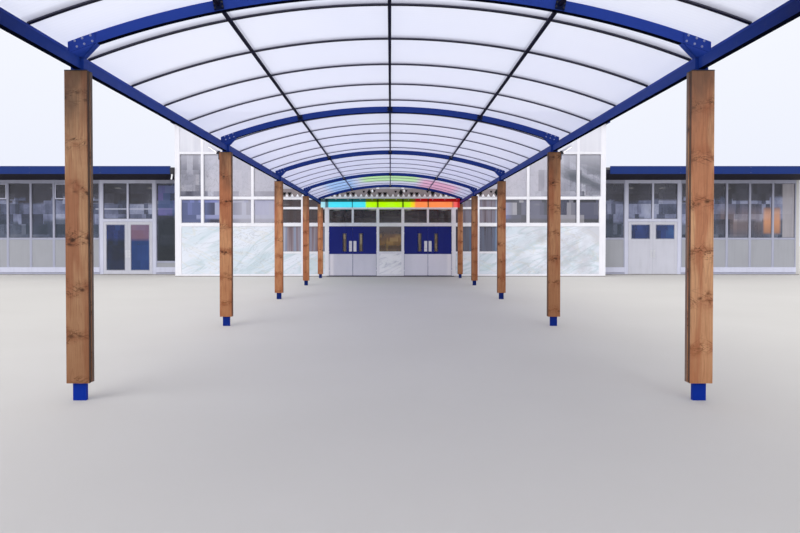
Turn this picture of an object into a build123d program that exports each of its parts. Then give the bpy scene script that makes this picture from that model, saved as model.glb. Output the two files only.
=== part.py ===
from build123d import *
from math import asin, degrees, sqrt
import os

# School entrance building with glazed hall, two low wings and an arched walkway canopy.
# Millimetres, +Z up. X runs along the front, the canopy stands on the -Y side.
# The origin is on the ground, on the entrance axis, in the middle of the front wall.

os.makedirs("parts", exist_ok=True)

# Fit of flat pieces in their frames, and clearance round the moving leaves
fit = 0.3
leaf_gap = 8.0
meeting_gap = 6.0

# Front wall grid
module = 1065.0
module_count = 17
door_module_count = 2
frame_depth = 120.0
mullion_width = 100.0
corner_post_width = 200.0

# Levels of the hall
floor_thickness = 40.0
base_rail_height = 60.0
low_rail_bottom = 1000.0
low_rail_height = 60.0
sill_rail_bottom = 2150.0
sill_rail_height = 130.0
light_rail_bottom = 2880.0
light_rail_height = 70.0
transom_bottom = 3290.0
transom_height = 110.0
meeting_mullion_width = 60.0
upper_floor_thickness = 150.0
head_rail_bottom = 5210.0
head_rail_height = 90.0
wall_top = 6600.0
top_rail_height = 120.0
roof_thickness = 300.0
roof_fascia_height = 460.0
roof_fascia_thickness = 40.0
roof_overhang = 90.0
hall_depth = 9300.0
side_wall_thickness = 150.0
side_rib_depth = 25.0
glass_thickness = 24.0
panel_thickness = 60.0
panel_recess = 10.0
frieze_height = 330.0
frieze_thickness = 25.0
wide_panel_modules = 4

# Low wings
wing_setback = 1350.0
wing_depth = 6300.0
wing_module = 1030.0
wing_window_count = 5
wing_door_clear = 2200.0
wing_post_width = 150.0
wing_side_bay = 1340.0
wing_mullion_width = 70.0
wing_sill_bottom = 1600.0
wing_low_sill_bottom = 560.0
wing_sill_height = 60.0
wing_door_head_bottom = 2390.0
wing_door_head_height = 120.0
wing_head_bottom = 4110.0
wing_head_height = 140.0
wing_fascia_bottom = 4370.0
wing_fascia_height = 320.0
wing_fascia_thickness = 40.0
wing_roof_front_rise = 130.0
wing_roof_thickness = 400.0
wing_end_wall_thickness = 150.0
wing_roof_gap = 10.0
wing_fascia_gap = 190.0

# Door leaves
leaf_thickness = 45.0
vision_width = 170.0
vision_height = 780.0
vision_bottom = 1070.0
vision_from_meeting = 345.0
wing_stile = 120.0
wing_bottom_rail = 160.0
wing_mid_rail_bottom = 1490.0
wing_mid_rail_height = 120.0
wing_leaf_panel_thickness = 30.0
hinge_radius = 7.0
hinge_length = 50.0
hinge_count = 3
hinge_end_offset = 200.0
hinge_clearance = 5.0
hinge_plate_width = 30.0

# Canopy
post_half_spacing = 2860.0
bay_length = 5030.0
full_bay_count = 4
last_bay_length = 4250.0
last_post_to_wall = 970.0
post_width = 120.0
post_depth = 40.0
plank_width = 210.0
plank_thickness = 49.0
plank_gap = 8.0
plank_foot_gap = 165.0
plank_top_gap = 26.0
plank_chamfer = 5.0
beam_bottom = 3048.0
beam_height = 100.0
beam_width = 60.0
beam_plate_thickness = 12.0
beam_plate_margin = 30.0
arch_apex = 3720.0
arch_inner_radius = 8350.0
arch_depth = 100.0
arch_width = 60.0
arch_overreach = 50.0
haunch_length = 130.0
haunch_plate_thickness = 8.0
haunch_plate_length = 250.0
haunch_plate_margin = 6.0
edge_rail_width = 60.0
edge_rail_height = 80.0
purlin_offset = 1560.0
purlin_width = 50.0
purlin_depth = 60.0
purlin_seat_gap = 0.3
cleat_width = 90.0
cleat_thickness = 10.0
bar_pitch = 1018.0
bar_before_arch = 600.0
bar_after_arch = 480.0
bar_width = 40.0
bar_height = 12.0
sheet_joint = 6.0
sheet_thickness = 16.0
sheet_overreach = 40.0
valance_rail_width = 60.0
valance_rail_height = 100.0
valance_bottom = 2885.0
valance_thickness = 12.0
valance_side_gap = 0.3


def save(part, name):
    """Names a finished piece and writes its file."""
    part.label = name
    export_step(part, f"parts/{name}.step")


def block(x0, x1, y0, y1, z0, z1):
    """A plain rectangular piece between two corners."""
    with Locations(((x0 + x1) / 2, (y0 + y1) / 2, (z0 + z1) / 2)):
        Box(x1 - x0, y1 - y0, z1 - z0)


def oblong(x0, x1, z0, z1):
    """A rectangle of a wall elevation, in X and Z."""
    with Locations(((x0 + x1) / 2, (z0 + z1) / 2)):
        Rectangle(x1 - x0, z1 - z0)


def wall_plane(y_back):
    """The elevation plane from which a wall piece is extruded towards the front."""
    return Plane.XZ.offset(-y_back)


# Positions shared by the hall's pieces
half_frame = frame_depth / 2
front_face = -half_frame
lines = [(i - module_count / 2) * module for i in range(module_count + 1)]
half_mullion = mullion_width / 2
hall_half = lines[-1] + corner_post_width / 2
inner_half = lines[-1] - corner_post_width / 2
middle = module_count // 2
door_outer = middle - door_module_count
entrance_edge = -lines[door_outer] + half_mullion
back_centre = front_face + hall_depth - half_frame
sill_top = sill_rail_bottom + sill_rail_height
transom_top = transom_bottom + transom_height
low_rail_top = low_rail_bottom + low_rail_height
base_top = floor_thickness + base_rail_height
head_rail_top = head_rail_bottom + head_rail_height
light_rail_top = light_rail_bottom + light_rail_height
top_rail_bottom = wall_top - top_rail_height

# Hall floor, seen as a thin threshold above the ground
with BuildPart() as hall_floor:
    block(-hall_half, hall_half, front_face, front_face + hall_depth, 0, floor_thickness)
save(hall_floor.part, "hall_floor")

# Four corner posts
with BuildPart() as corner_posts:
    for side in (-1, 1):
        for y in (0, back_centre):
            half = corner_post_width / 2
            block(side * lines[-1] - half, side * lines[-1] + half,
                  y - half_frame, y + half_frame, floor_thickness, wall_top)
save(corner_posts.part, "corner_posts")


def ground_lattice(first, last, y_centre, plain_modules):
    """Ground storey frame between two grid lines, with wide panels on its outer modules."""
    x0 = -inner_half if first == 0 else lines[first] + half_mullion
    x1 = inner_half if last == module_count else lines[last] - half_mullion
    with BuildSketch(wall_plane(y_centre + half_frame)) as outline:
        oblong(x0, x1, floor_thickness, base_top)
        oblong(x0, x1, sill_rail_bottom, sill_top)
        oblong(x0, x1, transom_bottom, transom_top)
        for i in range(first + 1, last):
            oblong(lines[i] - half_mullion, lines[i] + half_mullion, sill_rail_bottom, transom_top)
            if plain_modules <= i <= module_count - plain_modules:
                oblong(lines[i] - half_mullion, lines[i] + half_mullion,
                       floor_thickness, sill_top)
        oblong(x0, x0 + base_rail_height, floor_thickness, transom_top)
        oblong(x1 - base_rail_height, x1, floor_thickness, transom_top)
        low_from = max(first, plain_modules)
        low_to = min(last, module_count - plain_modules)
        for bottom, top in ((low_rail_bottom, low_rail_top), (light_rail_bottom, light_rail_top)):
            oblong(max(x0, lines[low_from]), min(x1, lines[low_to]), bottom, top)
    extrude(outline.sketch, amount=frame_depth)


# Ground storey frames beside the entrance
with BuildPart() as front_frame_left:
    ground_lattice(0, door_outer, 0, wide_panel_modules)
save(front_frame_left.part, "front_frame_left")

with BuildPart() as front_frame_right:
    ground_lattice(module_count - door_outer, module_count, 0, wide_panel_modules)
save(front_frame_right.part, "front_frame_right")


def leaf_levels(bottom, top):
    """Lower ends of the hinges on a leaf between two levels."""
    span = top - bottom - 2 * hinge_end_offset - 2 * hinge_length
    return [bottom + hinge_end_offset + i * span / (hinge_count - 1) for i in range(hinge_count)]


def fixed_knuckles(axis_x, axis_y, towards_post, levels):
    """Hinge plates on a post's face, each carrying the lower knuckle of one hinge."""
    for level in levels:
        with Locations((axis_x, axis_y, level + hinge_length / 2)):
            Cylinder(hinge_radius, hinge_length)
        far = axis_x + towards_post * (leaf_gap + hinge_plate_width)
        block(min(axis_x, far), max(axis_x, far), axis_y - hinge_radius, axis_y,
              level, level + hinge_length)


leaf_bottom = floor_thickness + leaf_gap
leaf_top = sill_rail_bottom - leaf_gap
hinge_levels = leaf_levels(leaf_bottom, leaf_top)

# Posts beside the entrance doors, the middle pair joined by the rails of the bay between
with BuildPart() as entrance_jambs:
    for side in (-1, 1):
        outer = side * -lines[door_outer]
        inner = side * -lines[middle]
        for line in (outer, inner):
            block(line - half_mullion, line + half_mullion, front_face, half_frame,
                  floor_thickness, sill_rail_bottom)
        fixed_knuckles(outer - side * (half_mullion + leaf_gap), front_face, side, hinge_levels)
        fixed_knuckles(inner + side * (half_mullion + leaf_gap), front_face, -side, hinge_levels)
    bay = -lines[middle] - half_mullion
    block(-bay, bay, front_face, half_frame, floor_thickness, base_top)
    block(-bay, bay, front_face, half_frame, low_rail_bottom, low_rail_top)
save(entrance_jambs.part, "entrance_jambs")


def over_door_half(i):
    """Half width of the mullion over the entrance on one grid line, thinner over a leaf pair."""
    from_side = min(i - door_outer, module_count - door_outer - i)
    over_pair = 0 < from_side < door_module_count
    return (meeting_mullion_width if over_pair else mullion_width) / 2


# Frame over the doors, with two rows of small lights
with BuildPart() as entrance_transom:
    with BuildSketch(wall_plane(half_frame)):
        for bottom, height in ((sill_rail_bottom, sill_rail_height),
                               (light_rail_bottom, light_rail_height),
                               (transom_bottom, transom_height)):
            oblong(-entrance_edge, entrance_edge, bottom, bottom + height)
        for i in range(door_outer, module_count - door_outer + 1):
            oblong(lines[i] - over_door_half(i), lines[i] + over_door_half(i),
                   sill_rail_bottom, transom_top)
    extrude(amount=frame_depth)
save(entrance_transom.part, "entrance_transom")


def upper_lattice(y_centre):
    """Upper frame of the hall, from corner post to corner post."""
    with BuildSketch(wall_plane(y_centre + half_frame)) as outline:
        oblong(-inner_half, inner_half, head_rail_bottom, head_rail_top)
        oblong(-inner_half, inner_half, top_rail_bottom, wall_top)
        for line in lines[1:-1]:
            oblong(line - half_mullion, line + half_mullion, transom_top, wall_top)
    extrude(outline.sketch, amount=frame_depth)


with BuildPart() as upper_front_frame:
    upper_lattice(0)
save(upper_front_frame.part, "upper_front_frame")

# Back wall frame, which repeats the front without its entrance
with BuildPart() as rear_frame_lower:
    ground_lattice(0, module_count, back_centre, wide_panel_modules)
save(rear_frame_lower.part, "rear_frame_lower")

with BuildPart() as rear_frame_upper:
    upper_lattice(back_centre)
save(rear_frame_upper.part, "rear_frame_upper")


def sheets(cells, y_front, y_back):
    """Flat sheets cut to the cells of one wall, each clear of its frame all round."""
    with BuildSketch(wall_plane(y_back)) as outline:
        for x0, x1, z0, z1 in cells:
            oblong(x0 + fit, x1 - fit, z0 + fit, z1 - fit)
    extrude(outline.sketch, amount=y_back - y_front)


def panes(cells, y_centre):
    """Glass in the middle of a wall's frame."""
    sheets(cells, y_centre - glass_thickness / 2, y_centre + glass_thickness / 2)


def panels(cells, y_centre, outward):
    """Opaque panels set just behind the outer face of a wall's frame."""
    face = y_centre + outward * (half_frame - panel_recess)
    back = face - outward * panel_thickness
    sheets(cells, min(face, back), max(face, back))


def ground_edges(i, first, last):
    """Clear width of one ground storey module between its mullions or end members."""
    low = lines[i] + half_mullion
    high = lines[i + 1] - half_mullion
    if i == first:
        low = (-inner_half if first == 0 else low) + base_rail_height
    if i == last - 1:
        high = (inner_half if last == module_count else high) - base_rail_height
    return low, high


def upper_edges(i):
    """Clear width of one upper module."""
    low = -inner_half if i == 0 else lines[i] + half_mullion
    high = inner_half if i == module_count - 1 else lines[i + 1] - half_mullion
    return low, high


front_right = module_count - door_outer
plain_end = module_count - wide_panel_modules
front_runs = ((0, door_outer), (front_right, module_count))
rear_runs = ((0, module_count),)
middle_bay = (lines[middle] + half_mullion, -lines[middle] - half_mullion)


def ground_cells(runs, bottom, top, first_module, last_module):
    """Cells of one row of the ground storey, within a range of modules."""
    cells = []
    for first, last in runs:
        for i in range(max(first, first_module), min(last, last_module)):
            cells.append((*ground_edges(i, first, last), bottom, top))
    return cells


def upper_cells(bottom, top):
    """Cells of one row of the upper storey."""
    return [(*upper_edges(i), bottom, top) for i in range(module_count)]


# Window panes of the hall, front and back
entrance_bays = [(lines[i] + over_door_half(i), lines[i + 1] - over_door_half(i + 1))
                 for i in range(door_outer, front_right)]
with BuildPart() as hall_glass:
    for runs, y in ((front_runs, 0), (rear_runs, back_centre)):
        cells = ground_cells(runs, sill_top, transom_bottom, 0, wide_panel_modules)
        cells += ground_cells(runs, sill_top, transom_bottom, plain_end, module_count)
        for bottom, top in ((low_rail_top, sill_rail_bottom), (sill_top, light_rail_bottom),
                            (light_rail_top, transom_bottom)):
            cells += ground_cells(runs, bottom, top, wide_panel_modules, plain_end)
        cells += upper_cells(transom_top, head_rail_bottom)
        if y == 0:
            cells.append((*middle_bay, low_rail_top, sill_rail_bottom))
            for bay in entrance_bays:
                cells.append((*bay, sill_top, light_rail_bottom))
                cells.append((*bay, light_rail_top, transom_bottom))
        panes(cells, y)
save(hall_glass.part, "hall_glass")

# White panels of the ground storey, wide ones at the ends and short ones by the doors
wide_edge = inner_half - base_rail_height
wide_cells = [(-wide_edge, lines[wide_panel_modules] - half_mullion, base_top, sill_rail_bottom),
              (lines[plain_end] + half_mullion, wide_edge, base_top, sill_rail_bottom)]
with BuildPart() as hall_panels:
    for runs, y, outward in ((front_runs, 0, -1), (rear_runs, back_centre, 1)):
        cells = wide_cells + ground_cells(runs, base_top, low_rail_bottom,
                                          wide_panel_modules, plain_end)
        if y == 0:
            cells.append((*middle_bay, base_top, low_rail_bottom))
        panels(cells, y, outward)
save(hall_panels.part, "hall_panels")

# Pale panels over the upper windows
with BuildPart() as spandrel_panels:
    for y, outward in ((0, -1), (back_centre, 1)):
        panels(upper_cells(head_rail_top, top_rail_bottom), y, outward)
save(spandrel_panels.part, "spandrel_panels")

# Board across the middle of the front, over the entrance
with BuildPart() as frieze_board:
    block(lines[wide_panel_modules], -lines[wide_panel_modules],
          front_face - frieze_thickness, front_face, transom_top, transom_top + frieze_height)
save(frieze_board.part, "frieze_board")

# Side walls of the hall, ribbed above the low wings
wing_roof_top = wing_head_bottom + wing_head_height + wing_roof_thickness
with BuildPart() as hall_side_walls:
    for side in (-1, 1):
        outer = side * (hall_half - side_rib_depth)
        inner = outer - side * side_wall_thickness
        block(min(outer, inner), max(outer, inner), half_frame, back_centre - half_frame,
              floor_thickness, wall_top)
        rib_out = side * hall_half
        clear = back_centre - frame_depth
        rib_count = int(clear // module)
        for i in range(1, rib_count + 1):
            y = half_frame + i * clear / (rib_count + 1)
            block(min(outer, rib_out), max(outer, rib_out), y - half_mullion, y + half_mullion,
                  wing_roof_top + module / 4, wall_top)
save(hall_side_walls.part, "hall_side_walls")

# Upper floor of the hall, seen as a ceiling through the lights over the doors
with BuildPart() as upper_floor:
    reach = hall_half - side_rib_depth - side_wall_thickness
    block(-reach, reach, half_frame, back_centre - half_frame,
          transom_top - upper_floor_thickness, transom_top)
save(upper_floor.part, "upper_floor")

# Flat roof of the hall and the boards round its edge
roof_x = hall_half + roof_overhang
roof_y0 = front_face - roof_overhang
roof_y1 = front_face + hall_depth + roof_overhang
with BuildPart() as hall_roof:
    block(-roof_x, roof_x, roof_y0, roof_y1, wall_top, wall_top + roof_thickness)
save(hall_roof.part, "hall_roof")

with BuildPart() as roof_fascia:
    with BuildSketch(Plane.XY.offset(wall_top - (roof_fascia_height - roof_thickness) / 2)):
        with Locations((0, (roof_y0 + roof_y1) / 2)):
            Rectangle(2 * (roof_x + roof_fascia_thickness),
                      roof_y1 - roof_y0 + 2 * roof_fascia_thickness)
            Rectangle(2 * roof_x, roof_y1 - roof_y0, mode=Mode.SUBTRACT)
    extrude(amount=roof_fascia_height)
save(roof_fascia.part, "roof_fascia")

# Positions shared by the wings
wing_front = front_face + wing_setback
wing_centre = wing_front + half_frame
wing_back = wing_front + wing_depth
wing_rear_centre = wing_back - half_frame
door_near = hall_half + wing_side_bay
door_far = door_near + 2 * wing_post_width + wing_door_clear
wing_clear_end = door_far + wing_window_count * wing_module
wing_end = wing_clear_end + wing_end_wall_thickness
wing_head_top = wing_head_bottom + wing_head_height
wing_door_head_top = wing_door_head_bottom + wing_door_head_height
half_wing_mullion = wing_mullion_width / 2


def mirrored(side, x0, x1):
    """Low and high X of a span given for the right wing, on either side."""
    return (x0, x1) if side > 0 else (-x1, -x0)


# Floors of the wings, which start at their set-back fronts
with BuildPart() as wing_floors:
    for side in (-1, 1):
        x0, x1 = mirrored(side, hall_half, wing_end)
        block(x0, x1, wing_front, wing_back, 0, floor_thickness)
save(wing_floors.part, "wing_floors")


def wing_run(side, x_near, x_far, count, sill, y_centre):
    """A run of tall wing windows between two positions, over low panels."""
    x0, x1 = mirrored(side, x_near, x_far)
    step = (x1 - x0) / count
    with BuildSketch(wall_plane(y_centre + half_frame)) as outline:
        oblong(x0, x1, floor_thickness, base_top)
        oblong(x0, x1, sill, sill + wing_sill_height)
        oblong(x0, x1, wing_head_bottom, wing_head_top)
        for i in range(count + 1):
            low = max(x0, x0 + i * step - half_wing_mullion)
            high = min(x1, x0 + i * step + half_wing_mullion)
            oblong(low, high, floor_thickness, wing_head_top)
    extrude(outline.sketch, amount=frame_depth)


def run_cells(side, x_near, x_far, count, bottom, top):
    """Cells between the mullions of one run of wing windows."""
    x0, x1 = mirrored(side, x_near, x_far)
    step = (x1 - x0) / count
    cells = []
    for i in range(count):
        low = x0 + i * step + half_wing_mullion
        high = x0 + (i + 1) * step - half_wing_mullion
        cells.append((low, high, bottom, top))
    return cells


rear_count = int((wing_clear_end - hall_half) // wing_module)
wing_runs = []
for side in (-1, 1):
    near_sill = wing_low_sill_bottom if side < 0 else wing_sill_bottom
    wing_runs.append((side, hall_half, door_near, 1, near_sill, wing_centre))
    wing_runs.append((side, door_far, wing_clear_end, wing_window_count,
                      wing_sill_bottom, wing_centre))
    wing_runs.append((side, hall_half, wing_clear_end, rear_count,
                      wing_sill_bottom, wing_rear_centre))

# Frames of the wings' glazing beside the doors and along the back
with BuildPart() as wing_frames:
    for run in wing_runs:
        wing_run(*run)
save(wing_frames.part, "wing_frames")

wing_leaf_top = wing_door_head_bottom - leaf_gap
wing_hinge_levels = leaf_levels(leaf_bottom, wing_leaf_top)

# Posts of the wing doors
with BuildPart() as wing_door_jambs:
    for side in (-1, 1):
        for near, towards in ((door_near, -1), (door_far - wing_post_width, 1)):
            x0, x1 = mirrored(side, near, near + wing_post_width)
            block(x0, x1, wing_front, wing_front + frame_depth,
                  floor_thickness, wing_door_head_bottom)
            edge = near + wing_post_width + leaf_gap if towards < 0 else near - leaf_gap
            fixed_knuckles(side * edge, wing_front, side * towards, wing_hinge_levels)
save(wing_door_jambs.part, "wing_door_jambs")

# Frames over the wing doors
with BuildPart() as wing_door_heads:
    for side in (-1, 1):
        x0, x1 = mirrored(side, door_near, door_far)
        centre = (x0 + x1) / 2
        with BuildSketch(wall_plane(wing_centre + half_frame)):
            oblong(x0, x1, wing_door_head_bottom, wing_door_head_top)
            oblong(x0, x1, wing_head_bottom, wing_head_top)
            oblong(x0, x0 + wing_post_width, wing_door_head_bottom, wing_head_top)
            oblong(x1 - wing_post_width, x1, wing_door_head_bottom, wing_head_top)
            oblong(centre - half_wing_mullion, centre + half_wing_mullion,
                   wing_door_head_bottom, wing_head_top)
        extrude(amount=frame_depth)
save(wing_door_heads.part, "wing_door_heads")

# Panes of the wings
with BuildPart() as wing_glass:
    for y in (wing_centre, wing_rear_centre):
        cells = []
        for side, near, far, count, sill, y_run in wing_runs:
            if y_run == y:
                cells += run_cells(side, near, far, count,
                                   sill + wing_sill_height, wing_head_bottom)
        if y == wing_centre:
            for side in (-1, 1):
                x0, x1 = mirrored(side, door_near + wing_post_width,
                                  door_far - wing_post_width)
                centre = (x0 + x1) / 2
                cells.append((x0, centre - half_wing_mullion,
                              wing_door_head_top, wing_head_bottom))
                cells.append((centre + half_wing_mullion, x1,
                              wing_door_head_top, wing_head_bottom))
        panes(cells, y)
save(wing_glass.part, "wing_glass")

# Low panels of the wings
with BuildPart() as wing_panels:
    for y, outward in ((wing_centre, -1), (wing_rear_centre, 1)):
        cells = []
        for side, near, far, count, sill, y_run in wing_runs:
            if y_run == y:
                cells += run_cells(side, near, far, count, base_top, sill)
        panels(cells, y, outward)
save(wing_panels.part, "wing_panels")

# Plain end walls where the wings are cut off
with BuildPart() as wing_end_walls:
    for side in (-1, 1):
        x0, x1 = mirrored(side, wing_clear_end, wing_end)
        block(x0, x1, wing_front, wing_back, floor_thickness, wing_head_top)
save(wing_end_walls.part, "wing_end_walls")

# Wing roofs, with a soffit that rises to the front edge
wing_roof_front = front_face + wing_fascia_thickness
with BuildPart() as wing_roofs:
    for side in (-1, 1):
        x0, x1 = mirrored(side, hall_half + wing_roof_gap, wing_end)
        with BuildSketch(Plane.YZ.offset(x0)):
            Polygon((wing_roof_front, wing_head_top + wing_roof_front_rise),
                    (wing_front, wing_head_top), (wing_back, wing_head_top),
                    (wing_back, wing_roof_top), (wing_roof_front, wing_roof_top),
                    align=None)
        extrude(amount=x1 - x0)
save(wing_roofs.part, "wing_roofs")

# Edge boards of the wing roofs
with BuildPart() as wing_fascias:
    for side in (-1, 1):
        x0, x1 = mirrored(side, hall_half + wing_fascia_gap, wing_end)
        block(x0, x1, front_face, wing_roof_front,
              wing_fascia_bottom, wing_fascia_bottom + wing_fascia_height)
save(wing_fascias.part, "wing_fascias")


def leaf_knuckles(axis_x, axis_y, levels):
    """Upper knuckles on a leaf, and room for the fixed knuckles below them."""
    for level in levels:
        with Locations((axis_x, axis_y, level + hinge_length / 2)):
            Cylinder(hinge_radius + hinge_clearance, hinge_length + 2 * fit,
                     mode=Mode.SUBTRACT)
        with Locations((axis_x, axis_y, level + fit + 1.5 * hinge_length)):
            Cylinder(hinge_radius, hinge_length)


def leaf_span(axis_x, direction, width):
    """Low and high X of a leaf that reaches from its hinge in one direction."""
    return min(axis_x, axis_x + direction * width), max(axis_x, axis_x + direction * width)


clear_opening = door_module_count * module - mullion_width
leaf_width = (clear_opening - 2 * leaf_gap - meeting_gap) / 2

# Entrance leaves, numbered from the left, each with a narrow vision slot
leaf_places = []
for side in (-1, 1):
    outer_axis = side * (-lines[door_outer] - half_mullion - leaf_gap)
    inner_axis = side * (-lines[middle] + half_mullion + leaf_gap)
    leaf_places.append((outer_axis, -side))
    leaf_places.append((inner_axis, side))
leaf_places.sort()
for number, (axis_x, direction) in enumerate(leaf_places, start=1):
    with BuildPart() as entrance_leaf:
        x0, x1 = leaf_span(axis_x, direction, leaf_width)
        block(x0, x1, front_face, front_face + leaf_thickness, leaf_bottom, leaf_top)
        slot_x = axis_x + direction * (leaf_width - vision_from_meeting)
        with Locations((slot_x, front_face + leaf_thickness / 2,
                        vision_bottom + vision_height / 2)):
            Box(vision_width, leaf_thickness, vision_height, mode=Mode.SUBTRACT)
        leaf_knuckles(axis_x, front_face, hinge_levels)
    save(entrance_leaf.part, f"entrance_leaf_{number}")

# Wing leaves with their panes: full glass on the left wing, half glass on the right
wing_leaf_width = (wing_door_clear - 2 * leaf_gap - meeting_gap) / 2
for side, wing_name in ((-1, "left"), (1, "right")):
    near_axis = side * (door_near + wing_post_width + leaf_gap)
    far_axis = side * (door_far - wing_post_width - leaf_gap)
    for number, (axis_x, direction) in enumerate(sorted(((near_axis, side), (far_axis, -side))),
                                                 start=1):
        x0, x1 = leaf_span(axis_x, direction, wing_leaf_width)
        glass_bottom = leaf_bottom + wing_bottom_rail
        if side > 0:
            glass_bottom = wing_mid_rail_bottom + wing_mid_rail_height
        y_mid = wing_front + leaf_thickness / 2
        with BuildPart() as wing_leaf:
            block(x0, x1, wing_front, wing_front + leaf_thickness, leaf_bottom, wing_leaf_top)
            hole_width = wing_leaf_width - 2 * wing_stile
            hole_height = wing_leaf_top - wing_stile - glass_bottom
            with Locations(((x0 + x1) / 2, y_mid, glass_bottom + hole_height / 2)):
                Box(hole_width, leaf_thickness, hole_height, mode=Mode.SUBTRACT)
            if side > 0:
                recess_bottom = leaf_bottom + wing_bottom_rail
                recess_height = wing_mid_rail_bottom - recess_bottom
                recess_depth = (leaf_thickness - wing_leaf_panel_thickness) / 2
                for y in (wing_front, wing_front + leaf_thickness - recess_depth):
                    with Locations(((x0 + x1) / 2, y + recess_depth / 2,
                                    recess_bottom + recess_height / 2)):
                        Box(hole_width, recess_depth, recess_height, mode=Mode.SUBTRACT)
            leaf_knuckles(axis_x, wing_front, wing_hinge_levels)
        save(wing_leaf.part, f"{wing_name}_wing_leaf_{number}")
        with BuildPart() as wing_leaf_glass:
            panes([((x0 + x1 - hole_width) / 2, (x0 + x1 + hole_width) / 2,
                    glass_bottom, glass_bottom + hole_height)], y_mid)
        save(wing_leaf_glass.part, f"{wing_name}_wing_leaf_glass_{number}")

# Positions shared by the canopy's pieces
arch_centre_z = arch_apex - arch_inner_radius
arch_outer_radius = arch_inner_radius + arch_depth
beam_top = beam_bottom + beam_height
beam_inner = post_half_spacing - beam_width / 2
beam_outer = post_half_spacing + beam_width / 2
post_inner = post_half_spacing - post_width / 2
post_outer = post_half_spacing + post_width / 2
arch_end = beam_outer + arch_overreach
last_post_y = front_face - last_post_to_wall
first_of_last = last_post_y - last_bay_length
post_rows = [first_of_last - i * bay_length for i in range(full_bay_count, -1, -1)]
post_rows.append(last_post_y)
first_bar = post_rows[0] - bar_before_arch
last_bar = last_post_y + bar_after_arch
sheet_count = round((last_bar - first_bar) / bar_pitch)
bar_rows = [first_bar + i * (last_bar - first_bar) / sheet_count for i in range(sheet_count + 1)]
canopy_front = first_bar - bar_width / 2
canopy_back = last_bar + bar_width / 2


def height_on(radius, x):
    """Height of a point of the arched section on a given radius."""
    return arch_centre_z + sqrt(radius ** 2 - x ** 2)


# Flat steel posts, hidden by planks above the foot and forked round the beams
with BuildPart() as canopy_posts:
    for side in (-1, 1):
        for y in post_rows:
            x0, x1 = sorted((side * post_inner, side * post_outer))
            block(x0, x1, y - post_depth / 2, y + post_depth / 2, 0, beam_top)
            with Locations((side * post_half_spacing, y, beam_bottom + beam_height / 2)):
                Box(beam_width, post_depth, beam_height, mode=Mode.SUBTRACT)
save(canopy_posts.part, "canopy_posts")

# Timber planks on the front and back of each post, housed over the steel
with BuildPart() as post_planks:
    for side in (-1, 1):
        for y in post_rows:
            for face in (-1, 1):
                y_plank = y + face * (plank_gap + plank_thickness) / 2
                with BuildSketch(Plane.XY.offset(plank_foot_gap)):
                    with Locations((side * post_half_spacing, y_plank)):
                        plank = Rectangle(plank_width, plank_thickness)
                    chamfer(plank.vertices(), plank_chamfer)
                    with Locations((side * post_half_spacing, y)):
                        Rectangle(post_width + 2 * fit, post_depth + 2 * fit, mode=Mode.SUBTRACT)
                extrude(amount=beam_bottom - plank_top_gap - plank_foot_gap)
save(post_planks.part, "post_planks")

# Eaves beams from the free end to a fixing plate on the front wall
with BuildPart() as eaves_beams:
    for side in (-1, 1):
        x = side * post_half_spacing
        block(x - beam_width / 2, x + beam_width / 2, canopy_front, front_face,
              beam_bottom, beam_top)
        x0, x1 = sorted((side * (entrance_edge - mullion_width),
                         side * (beam_outer + beam_plate_margin)))
        block(x0, x1, front_face - beam_plate_thickness, front_face,
              beam_bottom - beam_plate_margin, beam_top + beam_plate_margin)
save(eaves_beams.part, "eaves_beams")


def band(inner_radius, outer_radius, reach):
    """Sketch of an arched strip between two radii, cut upright at its ends."""
    with BuildLine() as edge:
        top_left = (-reach, height_on(outer_radius, reach))
        top_right = (reach, height_on(outer_radius, reach))
        low_left = (-reach, height_on(inner_radius, reach))
        low_right = (reach, height_on(inner_radius, reach))
        ThreePointArc(top_left, (0, height_on(outer_radius, 0)), top_right)
        Line(top_right, low_right)
        ThreePointArc(low_right, (0, height_on(inner_radius, 0)), low_left)
        Line(low_left, top_left)
    make_face(edge.edges())


# Arched frames with deepened ends that seat on the post heads, and splice plates there
haunch_start = post_inner - haunch_length
plate_start = arch_end - haunch_plate_length
plate_half = arch_width / 2 + haunch_plate_thickness
margin = haunch_plate_margin
with BuildPart() as canopy_arches:
    with BuildSketch(*[wall_plane(y + arch_width / 2) for y in post_rows]):
        band(arch_inner_radius, arch_outer_radius, arch_end)
        for side in (-1, 1):
            Polygon((side * haunch_start, height_on(arch_inner_radius, haunch_start)),
                    (side * post_inner, beam_top), (side * post_outer, beam_top),
                    (side * arch_end, height_on(arch_inner_radius, arch_end)),
                    (side * arch_end, height_on(arch_outer_radius, arch_end) - margin),
                    (side * haunch_start, height_on(arch_outer_radius, haunch_start) - margin),
                    align=None)
    extrude(amount=arch_width)
    with BuildSketch(*[wall_plane(y + plate_half) for y in post_rows]):
        for side in (-1, 1):
            Polygon((side * plate_start, height_on(arch_inner_radius, plate_start) + margin),
                    (side * post_inner, beam_top + margin),
                    (side * post_outer, beam_top + margin),
                    (side * (arch_end - margin), height_on(arch_outer_radius, arch_end) - margin),
                    (side * plate_start, height_on(arch_outer_radius, plate_start) - margin),
                    align=None)
    extrude(amount=2 * plate_half)
save(canopy_arches.part, "canopy_arches")

# Edge rails that carry the sheets along the eaves
edge_outer = arch_end + edge_rail_width
edge_top = height_on(arch_outer_radius, edge_outer)
with BuildPart() as edge_rails:
    for side in (-1, 1):
        x0, x1 = sorted((side * arch_end, side * edge_outer))
        block(x0, x1, canopy_front, canopy_back, edge_top - edge_rail_height, edge_top)
save(edge_rails.part, "edge_rails")

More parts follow.
